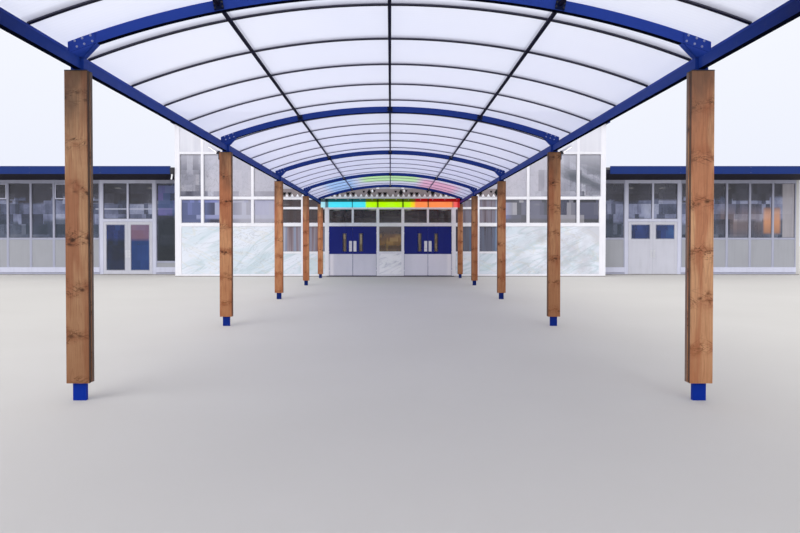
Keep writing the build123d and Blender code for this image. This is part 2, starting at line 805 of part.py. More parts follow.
# Three lines of purlins in lengths between the arches, each with end cleats
half_arch = arch_width / 2
with BuildPart() as canopy_purlins:
    spans = [(canopy_front, post_rows[0] - half_arch)]
    spans += [(a + half_arch, b - half_arch) for a, b in zip(post_rows, post_rows[1:])]
    spans.append((post_rows[-1] + half_arch, canopy_back))
    for offset in (-purlin_offset, 0, purlin_offset):
        tilt = degrees(asin(offset / arch_outer_radius))
        centre_radius = arch_outer_radius - purlin_seat_gap - purlin_depth / 2
        cleat_radius = arch_outer_radius - arch_depth / 2
        for y0, y1 in spans:
            places = [(centre_radius, purlin_width, purlin_depth, y0, y1)]
            if y0 > canopy_front:
                places.append((cleat_radius, cleat_width, arch_depth - 2 * haunch_plate_margin,
                               y0, y0 + cleat_thickness))
            if y1 < canopy_back:
                places.append((cleat_radius, cleat_width, arch_depth - 2 * haunch_plate_margin,
                               y1 - cleat_thickness, y1))
            for radius, width, depth, start, end in places:
                x = offset / arch_outer_radius * radius
                with BuildSketch(wall_plane(end)):
                    with Locations(Location((x, height_on(radius, x)), -tilt)):
                        Rectangle(width, depth)
                extrude(amount=end - start)
save(canopy_purlins.part, "canopy_purlins")

# Glazing bars bent over the arches and purlins
sheet_base = arch_outer_radius + bar_height
with BuildPart() as glazing_bars:
    with BuildSketch(*[wall_plane(y + bar_width / 2) for y in bar_rows]):
        band(arch_outer_radius, sheet_base, edge_outer)
    extrude(amount=bar_width)
save(glazing_bars.part, "glazing_bars")

# Bent sheets laid on the bars, with a joint on each bar's centre line
sheet_width = bar_rows[1] - bar_rows[0] - sheet_joint
with BuildPart() as roof_sheets:
    with BuildSketch(*[wall_plane(y - sheet_joint / 2) for y in bar_rows[1:]]):
        band(sheet_base + fit, sheet_base + sheet_thickness, edge_outer + sheet_overreach)
    extrude(amount=sheet_width)
save(roof_sheets.part, "roof_sheets")

# Rail across the last pair of posts, and the coloured sheet that hangs on it
valance_back = last_post_y - half_arch - haunch_plate_thickness
valance_front = valance_back - valance_rail_width
with BuildPart() as valance_rail:
    block(-beam_outer, beam_outer, valance_front, valance_back,
          beam_top, beam_top + valance_rail_height)
save(valance_rail.part, "valance_rail")

with BuildPart() as colour_valance:
    reach = beam_inner - valance_side_gap
    block(-reach, reach, valance_front - valance_thickness, valance_front,
          valance_bottom, beam_top + valance_rail_height)
save(colour_valance.part, "colour_valance")
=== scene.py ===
# School entrance building with its arched walkway canopy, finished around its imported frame.
import math

import bmesh
import bpy
from mathutils import Matrix, Vector

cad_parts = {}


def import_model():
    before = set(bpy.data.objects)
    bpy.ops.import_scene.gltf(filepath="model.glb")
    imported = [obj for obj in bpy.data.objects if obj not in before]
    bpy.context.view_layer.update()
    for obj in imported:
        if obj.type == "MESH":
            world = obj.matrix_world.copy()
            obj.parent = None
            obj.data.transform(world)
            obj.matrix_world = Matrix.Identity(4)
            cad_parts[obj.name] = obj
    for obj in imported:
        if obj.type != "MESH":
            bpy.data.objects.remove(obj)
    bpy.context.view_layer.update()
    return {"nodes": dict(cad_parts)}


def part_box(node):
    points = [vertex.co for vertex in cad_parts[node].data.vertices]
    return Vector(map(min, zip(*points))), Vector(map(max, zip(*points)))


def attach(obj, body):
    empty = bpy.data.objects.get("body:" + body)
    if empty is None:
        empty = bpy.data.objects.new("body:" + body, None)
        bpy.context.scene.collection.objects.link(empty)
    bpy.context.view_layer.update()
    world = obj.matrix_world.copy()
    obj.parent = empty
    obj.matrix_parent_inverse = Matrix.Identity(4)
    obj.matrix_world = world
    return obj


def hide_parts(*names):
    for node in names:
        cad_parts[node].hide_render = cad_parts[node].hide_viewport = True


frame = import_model()

# Studio
# A pale level floor under an even, overcast light. The camera stands where a person
# stands who looks along the walkway from its open end.
scene = bpy.context.scene
scene.view_settings.view_transform = "Standard"
eye = (0.010, -26.00, 1.458)
tilt_down = math.radians(0.8)


def placed(name, data):
    """A new object in the scene."""
    thing = bpy.data.objects.new(name, data)
    scene.collection.objects.link(thing)
    return thing


view = bpy.data.cameras.new("walkway_view")
view.lens = 27.45
view.shift_x = 0.0118
view.shift_y = -0.0194
view.clip_end = 500.0
scene.camera = placed("walkway_view", view)
scene.camera.location = eye
scene.camera.rotation_euler = (math.radians(90) - tilt_down, 0.0, 0.0)

soft_sun = bpy.data.lights.new("soft_sun", "SUN")
soft_sun.energy = 1.6
soft_sun.angle = math.radians(60)
placed("soft_sun", soft_sun).rotation_euler = (math.radians(40), 0.0, math.radians(-24))


class Value:
    """What a node gives out at each place of a surface, or at each point of a shape."""

    def __init__(self, tree, socket):
        self.tree = tree
        self.socket = socket

    def step(self, kind, other=0.0):
        """One arithmetic step with another value."""
        return self.tree.add("ShaderNodeMath", {0: self, 1: other}, operation=kind)

    def __add__(self, other):
        return self.step("ADD", other)

    def __sub__(self, other):
        return self.step("SUBTRACT", other)

    def __mul__(self, other):
        return self.step("MULTIPLY", other)

    def __truediv__(self, other):
        return self.step("DIVIDE", other)

    def __abs__(self):
        return self.step("ABSOLUTE")

    def rest(self):
        """What is left of one."""
        return self.tree.add("ShaderNodeMath", {0: 1.0, 1: self}, operation="SUBTRACT")

    def span(self, low, high, to_low=0.0, to_high=1.0):
        """The value moved from one range to another and kept inside it."""
        return self.tree.add("ShaderNodeMapRange", {"Value": self, "From Min": low,
                                                    "From Max": high, "To Min": to_low,
                                                    "To Max": to_high})

    def fade(self, low, high):
        """One below a range, nothing above it."""
        return self.span(low, high, 1.0, 0.0)

    def within(self, low, high, soft):
        """One inside a range, nothing outside it, with soft ends."""
        return self.span(low - soft, low + soft) * self.fade(high - soft, high + soft)

    def seam(self, width):
        """One along the winding lines where a random pattern crosses its middle."""
        return abs(self - 0.5).fade(0.0, width)

    def lines(self, pitch, width):
        """One on thin lines set at an even pitch along a coordinate."""
        from_middle = abs((self / pitch).step("FRACT") - 0.5)
        return from_middle.span(0.5 - width / pitch, 0.5 - 0.5 * width / pitch)

    def mix(self, first, second):
        """Two colours mixed by this value as the second one's share."""
        return self.tree.add("ShaderNodeMix", {0: self, 6: first, 7: second}, 2, data_type="RGBA")

    def times(self, colour):
        """This colour multiplied by another."""
        return self.tree.add("ShaderNodeMix", {0: 1.0, 6: self, 7: colour}, 2, data_type="RGBA",
                             blend_type="MULTIPLY")

    def under(self, *coats):
        """This colour under further coats, each a share and a colour."""
        tone = self
        for share, colour in coats:
            tone = share.mix(tone, colour)
        return tone

    def ramp(self, *stops):
        """A colour read from stops, each a position and a colour."""
        read = self.tree.add("ShaderNodeValToRGB", {"Fac": self})
        points = read.socket.node.color_ramp.elements
        while len(points) < len(stops):
            points.new(1.0)
        for point, (position, colour) in zip(points, stops):
            point.position = position
            point.color = (*colour, 1.0)
        return read


class Tree:
    """A tree of nodes."""

    def __init__(self, tree):
        self.tree = tree

    def feed(self, socket, value):
        """Joins a socket to a value, or sets it to a plain number, vector or colour."""
        if isinstance(value, Value):
            self.tree.links.new(value.socket, socket)
        else:
            socket.default_value = (*value, 1.0) if socket.type == "RGBA" else value

    def add(self, kind, inputs=None, output=0, **settings):
        """What a new node with its settings and inputs gives out."""
        node = self.tree.nodes.new(kind)
        for key, value in settings.items():
            setattr(node, key, value)
        for key, value in (inputs or {}).items():
            self.feed(node.inputs[key], value)
        return Value(self, node.outputs[output])


scene.world = bpy.data.worlds.new("overcast_sky")
scene.world.use_nodes = True
sky = Tree(scene.world.node_tree)
sky_inputs = sky.tree.nodes["Background"].inputs
sky_height = sky.add("ShaderNodeSeparateXYZ",
                     {"Vector": sky.add("ShaderNodeTexCoord", output="Generated")}, "Z")
sky.feed(sky_inputs["Color"], sky_height.ramp((0.0, (0.81, 0.845, 0.97)),
                                              (0.55, (0.98, 0.99, 1.0))))
sky.feed(sky_inputs["Strength"], 1.02)


class Finish(Tree):
    """One surface finish, built up node by node on object coordinates."""

    def __init__(self, name, roughness, metallic=0.0, specular=0.5):
        self.material = bpy.data.materials.new(name)
        self.material.use_nodes = True
        super().__init__(self.material.node_tree)
        self.inputs = self.tree.nodes["Principled BSDF"].inputs
        self.set(Roughness=roughness, Metallic=metallic)
        self.feed(self.inputs["Specular IOR Level"], specular)
        self.place = self.add("ShaderNodeTexCoord", output="Object")
        parts = self.add("ShaderNodeSeparateXYZ", {"Vector": self.place}).socket.node.outputs
        self.x, self.y, self.z = (Value(self, part) for part in parts)

    def set(self, **values):
        """Values for the shader's own inputs."""
        for name, value in values.items():
            self.feed(self.inputs[name], value)

    def stretched(self, stretch, turn=0.0):
        """Object coordinates turned about Y and scaled along each axis."""
        place = self.place
        if turn:
            place = self.add("ShaderNodeMapping", {"Vector": place, "Rotation": (0.0, turn, 0.0)})
        return self.add("ShaderNodeMapping", {"Vector": place, "Scale": stretch})

    def cloud(self, scale, detail=4.0, stretch=(1.0, 1.0, 1.0), rough=0.55, turn=0, bend=0.0):
        """A soft random pattern between 0 and 1, turned by some degrees."""
        return self.add("ShaderNodeTexNoise",
                        {"Vector": self.stretched(stretch, math.radians(turn)), "Scale": scale,
                         "Detail": detail, "Roughness": rough, "Distortion": bend})

    def patches(self, across, up):
        """A random value for each of many upright blocks, in rows that are offset."""
        row = (self.z * up).step("FLOOR")
        shift = self.add("ShaderNodeTexWhiteNoise", {"W": row}, noise_dimensions="1D")
        along_row = (self.x + self.y) * across + shift * 7.3
        column = (along_row + (along_row * 2.1).step("SINE") * 0.62).step("FLOOR")
        cell = self.add("ShaderNodeCombineXYZ", {"X": column, "Y": row})
        return self.add("ShaderNodeTexWhiteNoise", {"Vector": cell}, noise_dimensions="2D")

    def coat(self, tone, grain=None, depth=0.0, strength=1.0, rough=None):
        """The material, with its colour, grain raised by a depth in metres, and gloss."""
        self.tone = tone
        self.feed(self.inputs["Base Color"], tone)
        if grain:
            self.set(Normal=self.add("ShaderNodeBump", {"Height": grain, "Distance": depth,
                                                        "Strength": strength}))
        if rough:
            self.set(Roughness=rough)
        return self.material

    def glow(self, colour, strength):
        """Light that the surface gives off by itself."""
        self.feed(self.inputs["Emission Color"], colour)
        self.feed(self.inputs["Emission Strength"], strength)

    def overlay(self, share, kind, colour):
        """Mixes a further shader of one colour into the surface."""
        surface = self.tree.nodes["Material Output"].inputs["Surface"]
        below = Value(self, surface.links[0].from_socket)
        self.feed(surface, self.add("ShaderNodeMixShader", {0: share, 1: below,
                                                            2: self.add(kind, {"Color": colour})}))


def drawn_mesh(name, points, edges=(), faces=()):
    """A mesh of given points."""
    mesh = bpy.data.meshes.new(name)
    mesh.from_pydata(points, edges, faces)
    return mesh


floor_half = 200.0
floor_corners = [(x * floor_half, y * floor_half, 0.0)
                 for x, y in ((-1, -1), (1, -1), (1, 1), (-1, 1))]
studio_floor = placed("studio_floor", drawn_mesh("studio_floor", floor_corners,
                                                 faces=[(0, 1, 2, 3)]))
paving = Finish("studio_floor", 0.85, specular=0.2)
studio_floor.data.materials.append(
    paving.coat(paving.cloud(0.35, 5.0).mix((0.52, 0.50, 0.48), (0.58, 0.56, 0.54))))


# Floors and ceiling
# Cast concrete slabs. The lower ones show as a thin edge above the paving, brushed and
# splashed; the upper one shows its tiled ceiling through the lights over the doors.
def dress(material, *names):
    """Gives frame pieces their finish."""
    for name in names:
        slots = frame["nodes"][name].data.materials
        slots.clear()
        slots.append(material)


concrete = Finish("brushed_concrete", 0.88, specular=0.3)
brush = concrete.cloud(38.0, 3.0, (1.0, 0.08, 1.0))
speck = concrete.cloud(160.0, 2.0)
tone = concrete.cloud(2.2, 6.0).mix((0.25, 0.24, 0.23), (0.38, 0.36, 0.34))
tone = tone.under((speck.span(0.60, 0.72), (0.18, 0.17, 0.16)))
dress(concrete.coat(tone, brush + speck, 0.0012), "hall_floor", "wing_floors")

tile = 0.60
joint = 0.03
ceiling = Finish("ceiling_tiles", 0.9, specular=0.2)
tone = ceiling.cloud(1.4, 3.0).mix((0.20, 0.17, 0.15), (0.30, 0.26, 0.24))
joints = ceiling.x.lines(tile, joint).step("MAXIMUM", ceiling.y.lines(tile, joint))
dress(ceiling.coat(joints.mix(tone, (0.50, 0.47, 0.44)), ceiling.cloud(180.0, 2.0), 0.001),
      "upper_floor")


class Pattern(Tree):
    """A geometry tree with named sizes, which ends in plain meshes of one material."""

    def __init__(self, name, **sizes):
        super().__init__(bpy.data.node_groups.new(name, "GeometryNodeTree"))
        face = self.tree.interface
        face.new_socket("Geometry", in_out="INPUT", socket_type="NodeSocketGeometry")
        for key, value in sizes.items():
            kind = "NodeSocketInt" if isinstance(value, int) else "NodeSocketFloat"
            face.new_socket(key, in_out="INPUT", socket_type=kind).default_value = value
        face.new_socket("Material", in_out="INPUT", socket_type="NodeSocketMaterial")
        face.new_socket("Geometry", in_out="OUTPUT", socket_type="NodeSocketGeometry")
        self.entry = self.add("NodeGroupInput").socket.node.outputs

    def __getitem__(self, name):
        """What goes in: a size, the material or the seed's geometry."""
        return Value(self, self.entry[name])

    def step_of(self, **parts):
        """A vector of values along the axes."""
        return self.add("ShaderNodeCombineXYZ", parts)

    def lifted(self, shape, height):
        """A shape moved up by a height."""
        return self.add("GeometryNodeTransform", {"Geometry": shape,
                                                  "Translation": self.step_of(Z=height)})

    def row(self, shape, step):
        """Copies of a shape in a straight row, as many as Count says."""
        line = self.add("GeometryNodeMeshLine", {"Count": self["Count"], "Offset": step})
        return self.add("GeometryNodeInstanceOnPoints", {"Points": line, "Instance": shape})

    def swept(self, width, height, closed):
        """A rectangle swept along the seed's lines."""
        path = self.add("GeometryNodeMeshToCurve", {"Mesh": self["Geometry"]})
        section = self.add("GeometryNodeCurvePrimitiveQuadrilateral", {"Width": width,
                                                                       "Height": height})
        return self.add("GeometryNodeCurveToMesh", {"Curve": path, "Profile Curve": section,
                                                    "Fill Caps": closed})

    def end(self, shape):
        """Realizes the copies, gives them their material and ends the tree."""
        real = self.add("GeometryNodeRealizeInstances", {0: shape})
        painted = self.add("GeometryNodeSetMaterial", {"Geometry": real,
                                                       "Material": self["Material"]})
        self.feed(self.tree.nodes.new("NodeGroupOutput").inputs[0], painted)


structure = "building"


def plain_piece(name, mesh, material, body=structure):
    """A finished piece of mesh that rides on a body."""
    piece = placed(name, mesh)
    mesh.name = name
    mesh.materials.clear()
    mesh.materials.append(material)
    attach(piece, body)
    return piece


def grown_mesh(seed_mesh, pattern, material, **sizes):
    """The plain mesh that a geometry tree grows from a seed mesh."""
    seed = placed("seed", seed_mesh)
    modifier = seed.modifiers.new("grow", "NODES")
    modifier.node_group = pattern.tree
    sizes["Material"] = material
    for item in pattern.tree.interface.items_tree:
        if item.in_out == "INPUT" and item.name in sizes:
            modifier[item.identifier] = sizes[item.name]
    scene.view_layers[0].update()
    result = seed.evaluated_get(bpy.context.evaluated_depsgraph_get())
    mesh = bpy.data.meshes.new_from_object(result)
    seed.modifiers.clear()
    bpy.data.objects.remove(seed)
    return mesh


def grown(name, seed_mesh, pattern, material, slot, body=structure, **sizes):
    """A piece that a geometry tree grows from a seed mesh, kept as a plain mesh."""
    return plain_piece(name, grown_mesh(seed_mesh, pattern, material, **sizes), material,
                       body)


def baked(shape):
    """The finished mesh of a shape that was being built."""
    mesh = bpy.data.meshes.new("shape")
    shape.to_mesh(mesh)
    shape.free()
    return mesh


def skinned(rings):
    """A closed mesh through rings of points, with flat ends."""
    shape = bmesh.new()
    rings = [[shape.verts.new(point) for point in ring] for ring in rings]
    for low, high in zip(rings, rings[1:]):
        for i in range(len(low)):
            j = (i + 1) % len(low)
            shape.faces.new((low[i], low[j], high[j], high[i]))
    shape.faces.new(reversed(rings[0]))
    shape.faces.new(rings[-1])
    bmesh.ops.recalc_face_normals(shape, faces=shape.faces)
    return baked(shape)


def turned_mesh(profile, segments=24):
    """A round mesh turned about Z from a list of (radius, height) points."""
    turns = [2 * math.pi * i / segments for i in range(segments)]
    return skinned([[(radius * math.cos(turn), radius * math.sin(turn), height)
                     for turn in turns] for radius, height in profile])


def moved_mesh(mesh, place, lean=0.0, axis="Y"):
    """A mesh leant about an axis through the origin and then moved, in its own points."""
    mesh.transform(Matrix.Translation(place) @ Matrix.Rotation(lean, 4, axis))
    return mesh


# Copies of one mesh set in a straight row
row_pattern = Pattern("even_row", Count=2, StepX=0.0, StepY=0.0, StepZ=0.0)
row_pattern.end(row_pattern.row(row_pattern["Geometry"],
                                row_pattern.step_of(X=row_pattern["StepX"],
                                                    Y=row_pattern["StepY"],
                                                    Z=row_pattern["StepZ"])))

# Ceiling lights of the hall
# Shallow round bowls of opal glass with a lamp inside, screwed to the ceiling in three
# rows of eight.
lamp_radius = 0.17
lamp_depth = 0.045
lamp_columns = 8
lamp_pitch_x = 1.955
lamp_first_y = 2.6
ceiling_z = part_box("upper_floor")[0].z
lamp_glass = Finish("ceiling_lamp_glass", 0.4)
tone = lamp_glass.cloud(30.0, 2.0).mix((0.86, 0.84, 0.78), (0.95, 0.93, 0.88))
opal_glass = lamp_glass.coat(tone)
lamp_glass.glow(tone, 1.6)
lamp_profile = [(0.55, -1.0), (0.86, -0.8), (0.93, -0.35), (1.0, -0.3), (1.0, 0.0)]
lamp = turned_mesh([(lamp_radius * out, lamp_depth * up) for out, up in lamp_profile])
moved_mesh(lamp, (-lamp_pitch_x * (lamp_columns - 1) / 2, lamp_first_y, ceiling_z))
lamp_row = grown_mesh(lamp, row_pattern, opal_glass, Count=lamp_columns, StepX=lamp_pitch_x)
grown("ceiling_lamps", lamp_row, row_pattern, opal_glass, "opal_sheet", Count=3, StepY=2.4)


# White frames of the hall
# Rolled steel and aluminium members, painted white and a little chalky. Rain draws faint
# grey streaks down the posts.
def weathered_paint(name, clean, stained, roughness, streak=0.35, specular=0.4):
    """Satin paint with soft streaks, fine dust and a slightly uneven gloss."""
    paint = Finish(name, roughness, specular=specular)
    streaks = paint.cloud(9.0, 5.0, (1.0, 1.0, 0.06)).span(0.48, 0.78) * streak
    patches = paint.cloud(1.3, 4.0)
    lighter = [min(1.0, part * 1.12) for part in clean]
    tone = streaks.mix(clean, stained).under((patches.span(0.35, 0.75, 0.0, 0.5), lighter))
    return paint.coat(tone, paint.cloud(120.0, 2.0), 0.0003, 0.6,
                      patches.span(0.3, 0.7, roughness - 0.06, roughness + 0.08))


white_frame = weathered_paint("white_frame_paint", (0.84, 0.83, 0.88), (0.60, 0.60, 0.64), 0.42)
dress(white_frame, "corner_posts", "front_frame_left", "front_frame_right", "entrance_jambs",
      "entrance_transom", "upper_front_frame", "rear_frame_lower", "rear_frame_upper")


def solids(node):
    """Lowest and highest corner of each separate solid of a frame piece."""
    shape = bmesh.new()
    shape.from_mesh(frame["nodes"][node].data)
    bmesh.ops.remove_doubles(shape, verts=shape.verts, dist=0.00005)
    seen = set()
    boxes = []
    for start in shape.verts:
        if start in seen:
            continue
        seen.add(start)
        solid = [start]
        for vertex in solid:
            for edge in vertex.link_edges:
                other = edge.other_vert(vertex)
                if other not in seen:
                    seen.add(other)
                    solid.append(other)
        ends = [list(part) for part in zip(*(vertex.co for vertex in solid))]
        boxes.append((Vector(map(min, ends)), Vector(map(max, ends))))
    shape.free()
    return boxes


# Beads follow the edge of each cell, mitred at the corners
bead_pattern = Pattern("window_beads", Width=0.02, Depth=0.02)
bead_pattern.end(bead_pattern.swept(bead_pattern["Width"], bead_pattern["Depth"], False))


def before(cell, middle_y):
    """Whether a cell stands in front of a middle."""
    return (cell[0].y + cell[1].y) / 2 < middle_y


def beads(name, cells, width, depth, material, slot, body=structure, middle_y=math.inf,
          gap=0.0004):
    """Glazing beads just outside a set of panes, on the front or, past a middle, the back."""
    points = []
    for low, high in cells:
        x0, x1 = low.x + width / 2, high.x - width / 2
        z0, z1 = low.z + width / 2, high.z - width / 2
        out = depth / 2 + gap
        y = low.y - out if before((low, high), middle_y) else high.y + out
        points += [(x0, y, z0), (x1, y, z0), (x1, y, z1), (x0, y, z1)]
    faces = [(i, i + 1, i + 2, i + 3) for i in range(0, len(points), 4)]
    grown(name, drawn_mesh("cells", points, faces=faces), bead_pattern, material, slot, body,
          Width=depth, Depth=width)


def drawn_in(cells, margin):
    """Cells made smaller by a margin all round."""
    inset = Vector((margin, 0.0, margin))
    return [(low + inset, high - inset) for low, high in cells]


# Window glass of the hall
# Clear float glass in dark gaskets, held by white beads. Painted reflections of a pale sky and
# pale walls lie on the panes in broken blocks; the low ones are darker and bluer, and dirt gathers
# on them.
def window_glass(name, tones, blocks, clearness, branch_reflection_share=0.5):
    """Glass that lets part of the light through, with painted reflections in broken patches of tone
    and thin dark branches.
    """
    glass = Finish(name, 0.05)
    drift = glass.cloud(0.9, 3.0, (1.0, 1.0, 0.7)).span(0.3, 0.7, 0.0, 0.45)
    reflected_branches = glass.cloud(3.4, 7.0, (1.0, 1.0, 0.8), 0.62, bend=0.8)
    tone = (glass.patches(*blocks) * 0.55 + drift).ramp(*tones)
    # Painted reflection of dark branches
    tone = tone.under((reflected_branches.seam(0.022) * branch_reflection_share, (0.045, 0.045, 0.06)))
    film = glass.cloud(7.0, 5.0, (1.0, 1.0, 0.25))
    glass.coat(tone, rough=film.span(0.4, 0.8, 0.04, 0.13))
    glass.alpha = film.span(0.35, 0.8, 1.0 - clearness, 1.0 - clearness * 0.75)
    glass.set(Alpha=glass.alpha, IOR=1.52)
    return glass


hall = window_glass("hall_window_glass",
                    [(0.0, (0.035, 0.036, 0.050)), (0.20, (0.10, 0.10, 0.14)),
                     (0.34, (0.34, 0.34, 0.42)), (0.55, (0.56, 0.56, 0.66)),
                     (0.80, (0.66, 0.64, 0.72)), (1.0, (0.80, 0.80, 0.86))],
                    (1.9, 1.1), 0.22, 0.45)
off_axis = abs(hall.x)
row_split = (3.33, 3.35)
left_end = (-7.9, -7.6)
either_side = (-1.0, 1.0)
# The upper rows, painted reflections: pale inside, broken dark bays outside, darker in slanting
# bands on the right, paler at the top
dark_bays = off_axis.span(7.95, 8.05, 0.0, 0.55) * hall.patches(3.4, 2.3).span(0.35, 0.6)
slant = hall.cloud(0.9, 4.0, (0.35, 1.0, 1.5), 0.55, -28, 0.6)
upper_rows = hall.tone.under(
    (off_axis.span(6.9, 7.9, 0.60, 0.0), (0.58, 0.56, 0.63)),
    (dark_bays, (0.14, 0.14, 0.19)),
    (hall.x.span(6.6, 7.6) * slant.span(0.42, 0.58, 0.2, 0.9), (0.13, 0.14, 0.17)),
    (hall.x.span(*left_end, 0.40, 0.0), (0.12, 0.12, 0.16)),
    (hall.z.span(4.3, 5.2, 0.0, 0.65), (0.70, 0.69, 0.78)))
# The low row, painted reflections: blue blocks, dark along the sill and on the right, pale next to
# the canopy
low_blocks = hall.patches(2.6, 1.9)
low_dark = low_blocks.ramp((0.0, (0.03, 0.03, 0.03)), (0.6, (0.09, 0.09, 0.10)),
                           (1.0, (0.42, 0.40, 0.42)))
inner_light = off_axis.span(6.3, 7.4, 0.75, 0.0) * hall.x.span(*either_side, 1.0, 0.25)
low_row = low_blocks.ramp((0.0, (0.03, 0.03, 0.05)), (0.25, (0.12, 0.13, 0.24)),
                          (0.5, (0.24, 0.26, 0.66)), (0.75, (0.30, 0.32, 0.56)),
                          (1.0, (0.50, 0.52, 0.66)))
low_row = low_row.under((hall.z.fade(2.42, 2.50), (0.06, 0.06, 0.09)),
                        (hall.x.span(*left_end, 0.45, 0.0), (0.20, 0.25, 0.52)),
                        (hall.x.span(4.9, 5.2, 0.0, 0.85), low_dark),
                        (inner_light, (0.58, 0.57, 0.66)))
# The lights beside the doors: folds of a curtain, dark above on the left, cool on the right
beside_doors = hall.z.fade(*row_split) * off_axis.fade(4.75, 4.85)
on_left = hall.x.fade(*either_side)
high_up = hall.z.span(2.24, 2.28)
folds = hall.cloud(5.0, 2.0, (1.0, 1.0, 0.03))
folds = folds.ramp((0.30, (0.16, 0.10, 0.11)), (0.45, (0.34, 0.28, 0.32)),
                   (0.55, (0.24, 0.28, 0.40)), (0.68, (0.50, 0.50, 0.58)))
folds = folds.under((on_left * high_up * 0.9, (0.048, 0.030, 0.026)))
folds = folds.under((on_left.rest() * high_up.span(0.0, 1.0, 1.0, 0.45),
                     folds.times((0.42, 0.54, 0.66))))
# The lights over the doors: the lobby's dark ceiling, with slats
front_half = hall.y.fade(4.0, 5.0)
over_doors = hall.z.within(2.20, row_split[0], 0.01) * off_axis.fade(2.70, 2.74) * front_half
slats = hall.cloud(9.0, 2.0, (0.25, 1.0, 6.0), 0.4, -14).span(0.56, 0.66, 0.0, 0.4)
lobby_ceiling = hall.cloud(1.6, 3.0, (1.0, 1.0, 3.0)).ramp((0.35, (0.048, 0.040, 0.044)),
                                                           (0.65, (0.085, 0.070, 0.074)))
lobby_ceiling = lobby_ceiling.under((slats, (0.14, 0.12, 0.12)))
# The light between the doors: the lobby's warm notices and floor
between_doors = hall.z.fade(2.16, 2.20) * off_axis.fade(0.60, 0.62) * front_half
lobby_height = hall.z.span(1.15, 2.15)
lobby_levels = lobby_height.ramp((0.0, (0.16, 0.12, 0.10)), (0.10, (0.10, 0.05, 0.02)),
                                 (0.30, (0.34, 0.19, 0.05)), (0.52, (0.26, 0.13, 0.06)),
                                 (0.70, (0.12, 0.085, 0.08)), (1.0, (0.16, 0.13, 0.13)))
lobby = hall.patches(7.0, 6.0).ramp((0.0, (0.06, 0.035, 0.030)), (0.45, (0.16, 0.085, 0.035)),
                                    (0.75, (0.42, 0.25, 0.07)), (1.0, (0.66, 0.48, 0.20)))
lobby = lobby.under((lobby_height.span(0.55, 0.75, 0.55, 1.0), lobby_levels))
dress(hall.coat(low_row.under((hall.z.span(*row_split), upper_rows), (beside_doors, folds),
                              (over_doors, lobby_ceiling), (between_doors, lobby))),
      "hall_glass")
hall.set(Alpha=hall.alpha - over_doors * 0.12)

rubber = Finish("gasket_rubber", 0.75, specular=0.3)
speck = rubber.cloud(90.0, 3.0)
gasket = rubber.coat(speck.mix((0.015, 0.015, 0.018), (0.045, 0.045, 0.05)), speck, 0.0004)
gasket_width = 0.007
gasket_depth = 0.010
sash_width = 0.020
sash_depth = 0.030
hall_middle_y = sum(end.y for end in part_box("upper_floor")) / 2
for wall, is_front in (("front", True), ("rear", False)):
    panes = [pane for pane in solids("hall_glass") if before(pane, hall_middle_y) == is_front]
    beads(f"{wall}_window_beads", panes, sash_width, sash_depth, white_frame, "white_frame",
          middle_y=hall_middle_y)
    beads(f"{wall}_window_gaskets", drawn_in(panes, sash_width), gasket_width, gasket_depth,
          gasket, "dark_steel", middle_y=hall_middle_y)

# Panels of the hall
# Enamelled steel sheets over insulation, held by thin beads. The wide ones carry a pale
# soft veining; those over the windows are plain and faintly fluted by reflections.
veined = Finish("veined_panel", 0.42, specular=0.35)
veins = veined.cloud(0.42, 4.0, (0.55, 1.0, 2.0), 0.5, 24, 1.6)
cross_veins = veined.cloud(0.38, 4.0, (0.6, 1.0, 2.4), 0.52, -30, 2.0)
fine_veins = veined.cloud(1.2, 6.0, (0.5, 1.0, 2.0), 0.6, 18, 1.2)
broad_veins = veined.cloud(0.55, 3.0, (0.5, 1.0, 2.4), 0.5, 22, 1.2)
green_cast = veined.cloud(0.8, 3.0, (1.0, 1.0, 1.6))
grey_cast = veined.cloud(1.1, 4.0, turn=40)
middle_veins = veined.cloud(3.2, 4.0, (0.6, 1.0, 2.2), 0.5, 20, 1.0)
# Painted light: the middle panel, in the canopy's shade, is painted nearly white, with its own
# veins
middle_panel = abs(veined.x).span(0.60, 0.70, 0.8, 0.0)
tone = veined.cloud(0.5, 3.0).mix((0.70, 0.75, 0.84), (0.80, 0.82, 0.88)).under(
    (broad_veins.span(0.50, 0.60, 0.0, 0.45), (0.55, 0.66, 0.72)),
    (veins.seam(0.050) * 0.55, (0.44, 0.56, 0.60)),
    (cross_veins.seam(0.022) * 0.28, (0.66, 0.60, 0.46)),
    (fine_veins.seam(0.014) * 0.45, (0.36, 0.38, 0.42)),
    (green_cast.span(0.58, 0.72, 0.0, 0.35), (0.62, 0.74, 0.72)),
    (veined.x.span(4.8, 6.4, 0.0, 0.5) * grey_cast.span(0.42, 0.62), (0.44, 0.42, 0.46)),
    (middle_panel, (1.0, 0.98, 1.0)),
    (middle_veins.span(0.50, 0.62) * middle_panel, (0.62, 0.62, 0.70)))
dress(veined.coat(tone, fine_veins, 0.0004, 0.4), "hall_panels")

fluted = Finish("fluted_panel", 0.40, specular=0.4)
streaks = fluted.cloud(4.0, 3.0, (1.0, 1.0, 0.03))
tone = streaks.mix((0.56, 0.56, 0.64), (0.84, 0.83, 0.88))
tone = tone.under((fluted.cloud(0.6, 3.0).span(0.4, 0.7, 0.0, 0.6), (0.80, 0.81, 0.87)))
dress(fluted.coat(tone, streaks, 0.0006, 0.5), "spandrel_panels")
panel_bead_width = 0.018
panel_bead_depth = 0.009
beads("hall_panel_beads", solids("hall_panels") + solids("spandrel_panels"), panel_bead_width,
      panel_bead_depth, white_frame, "white_frame", middle_y=hall_middle_y)

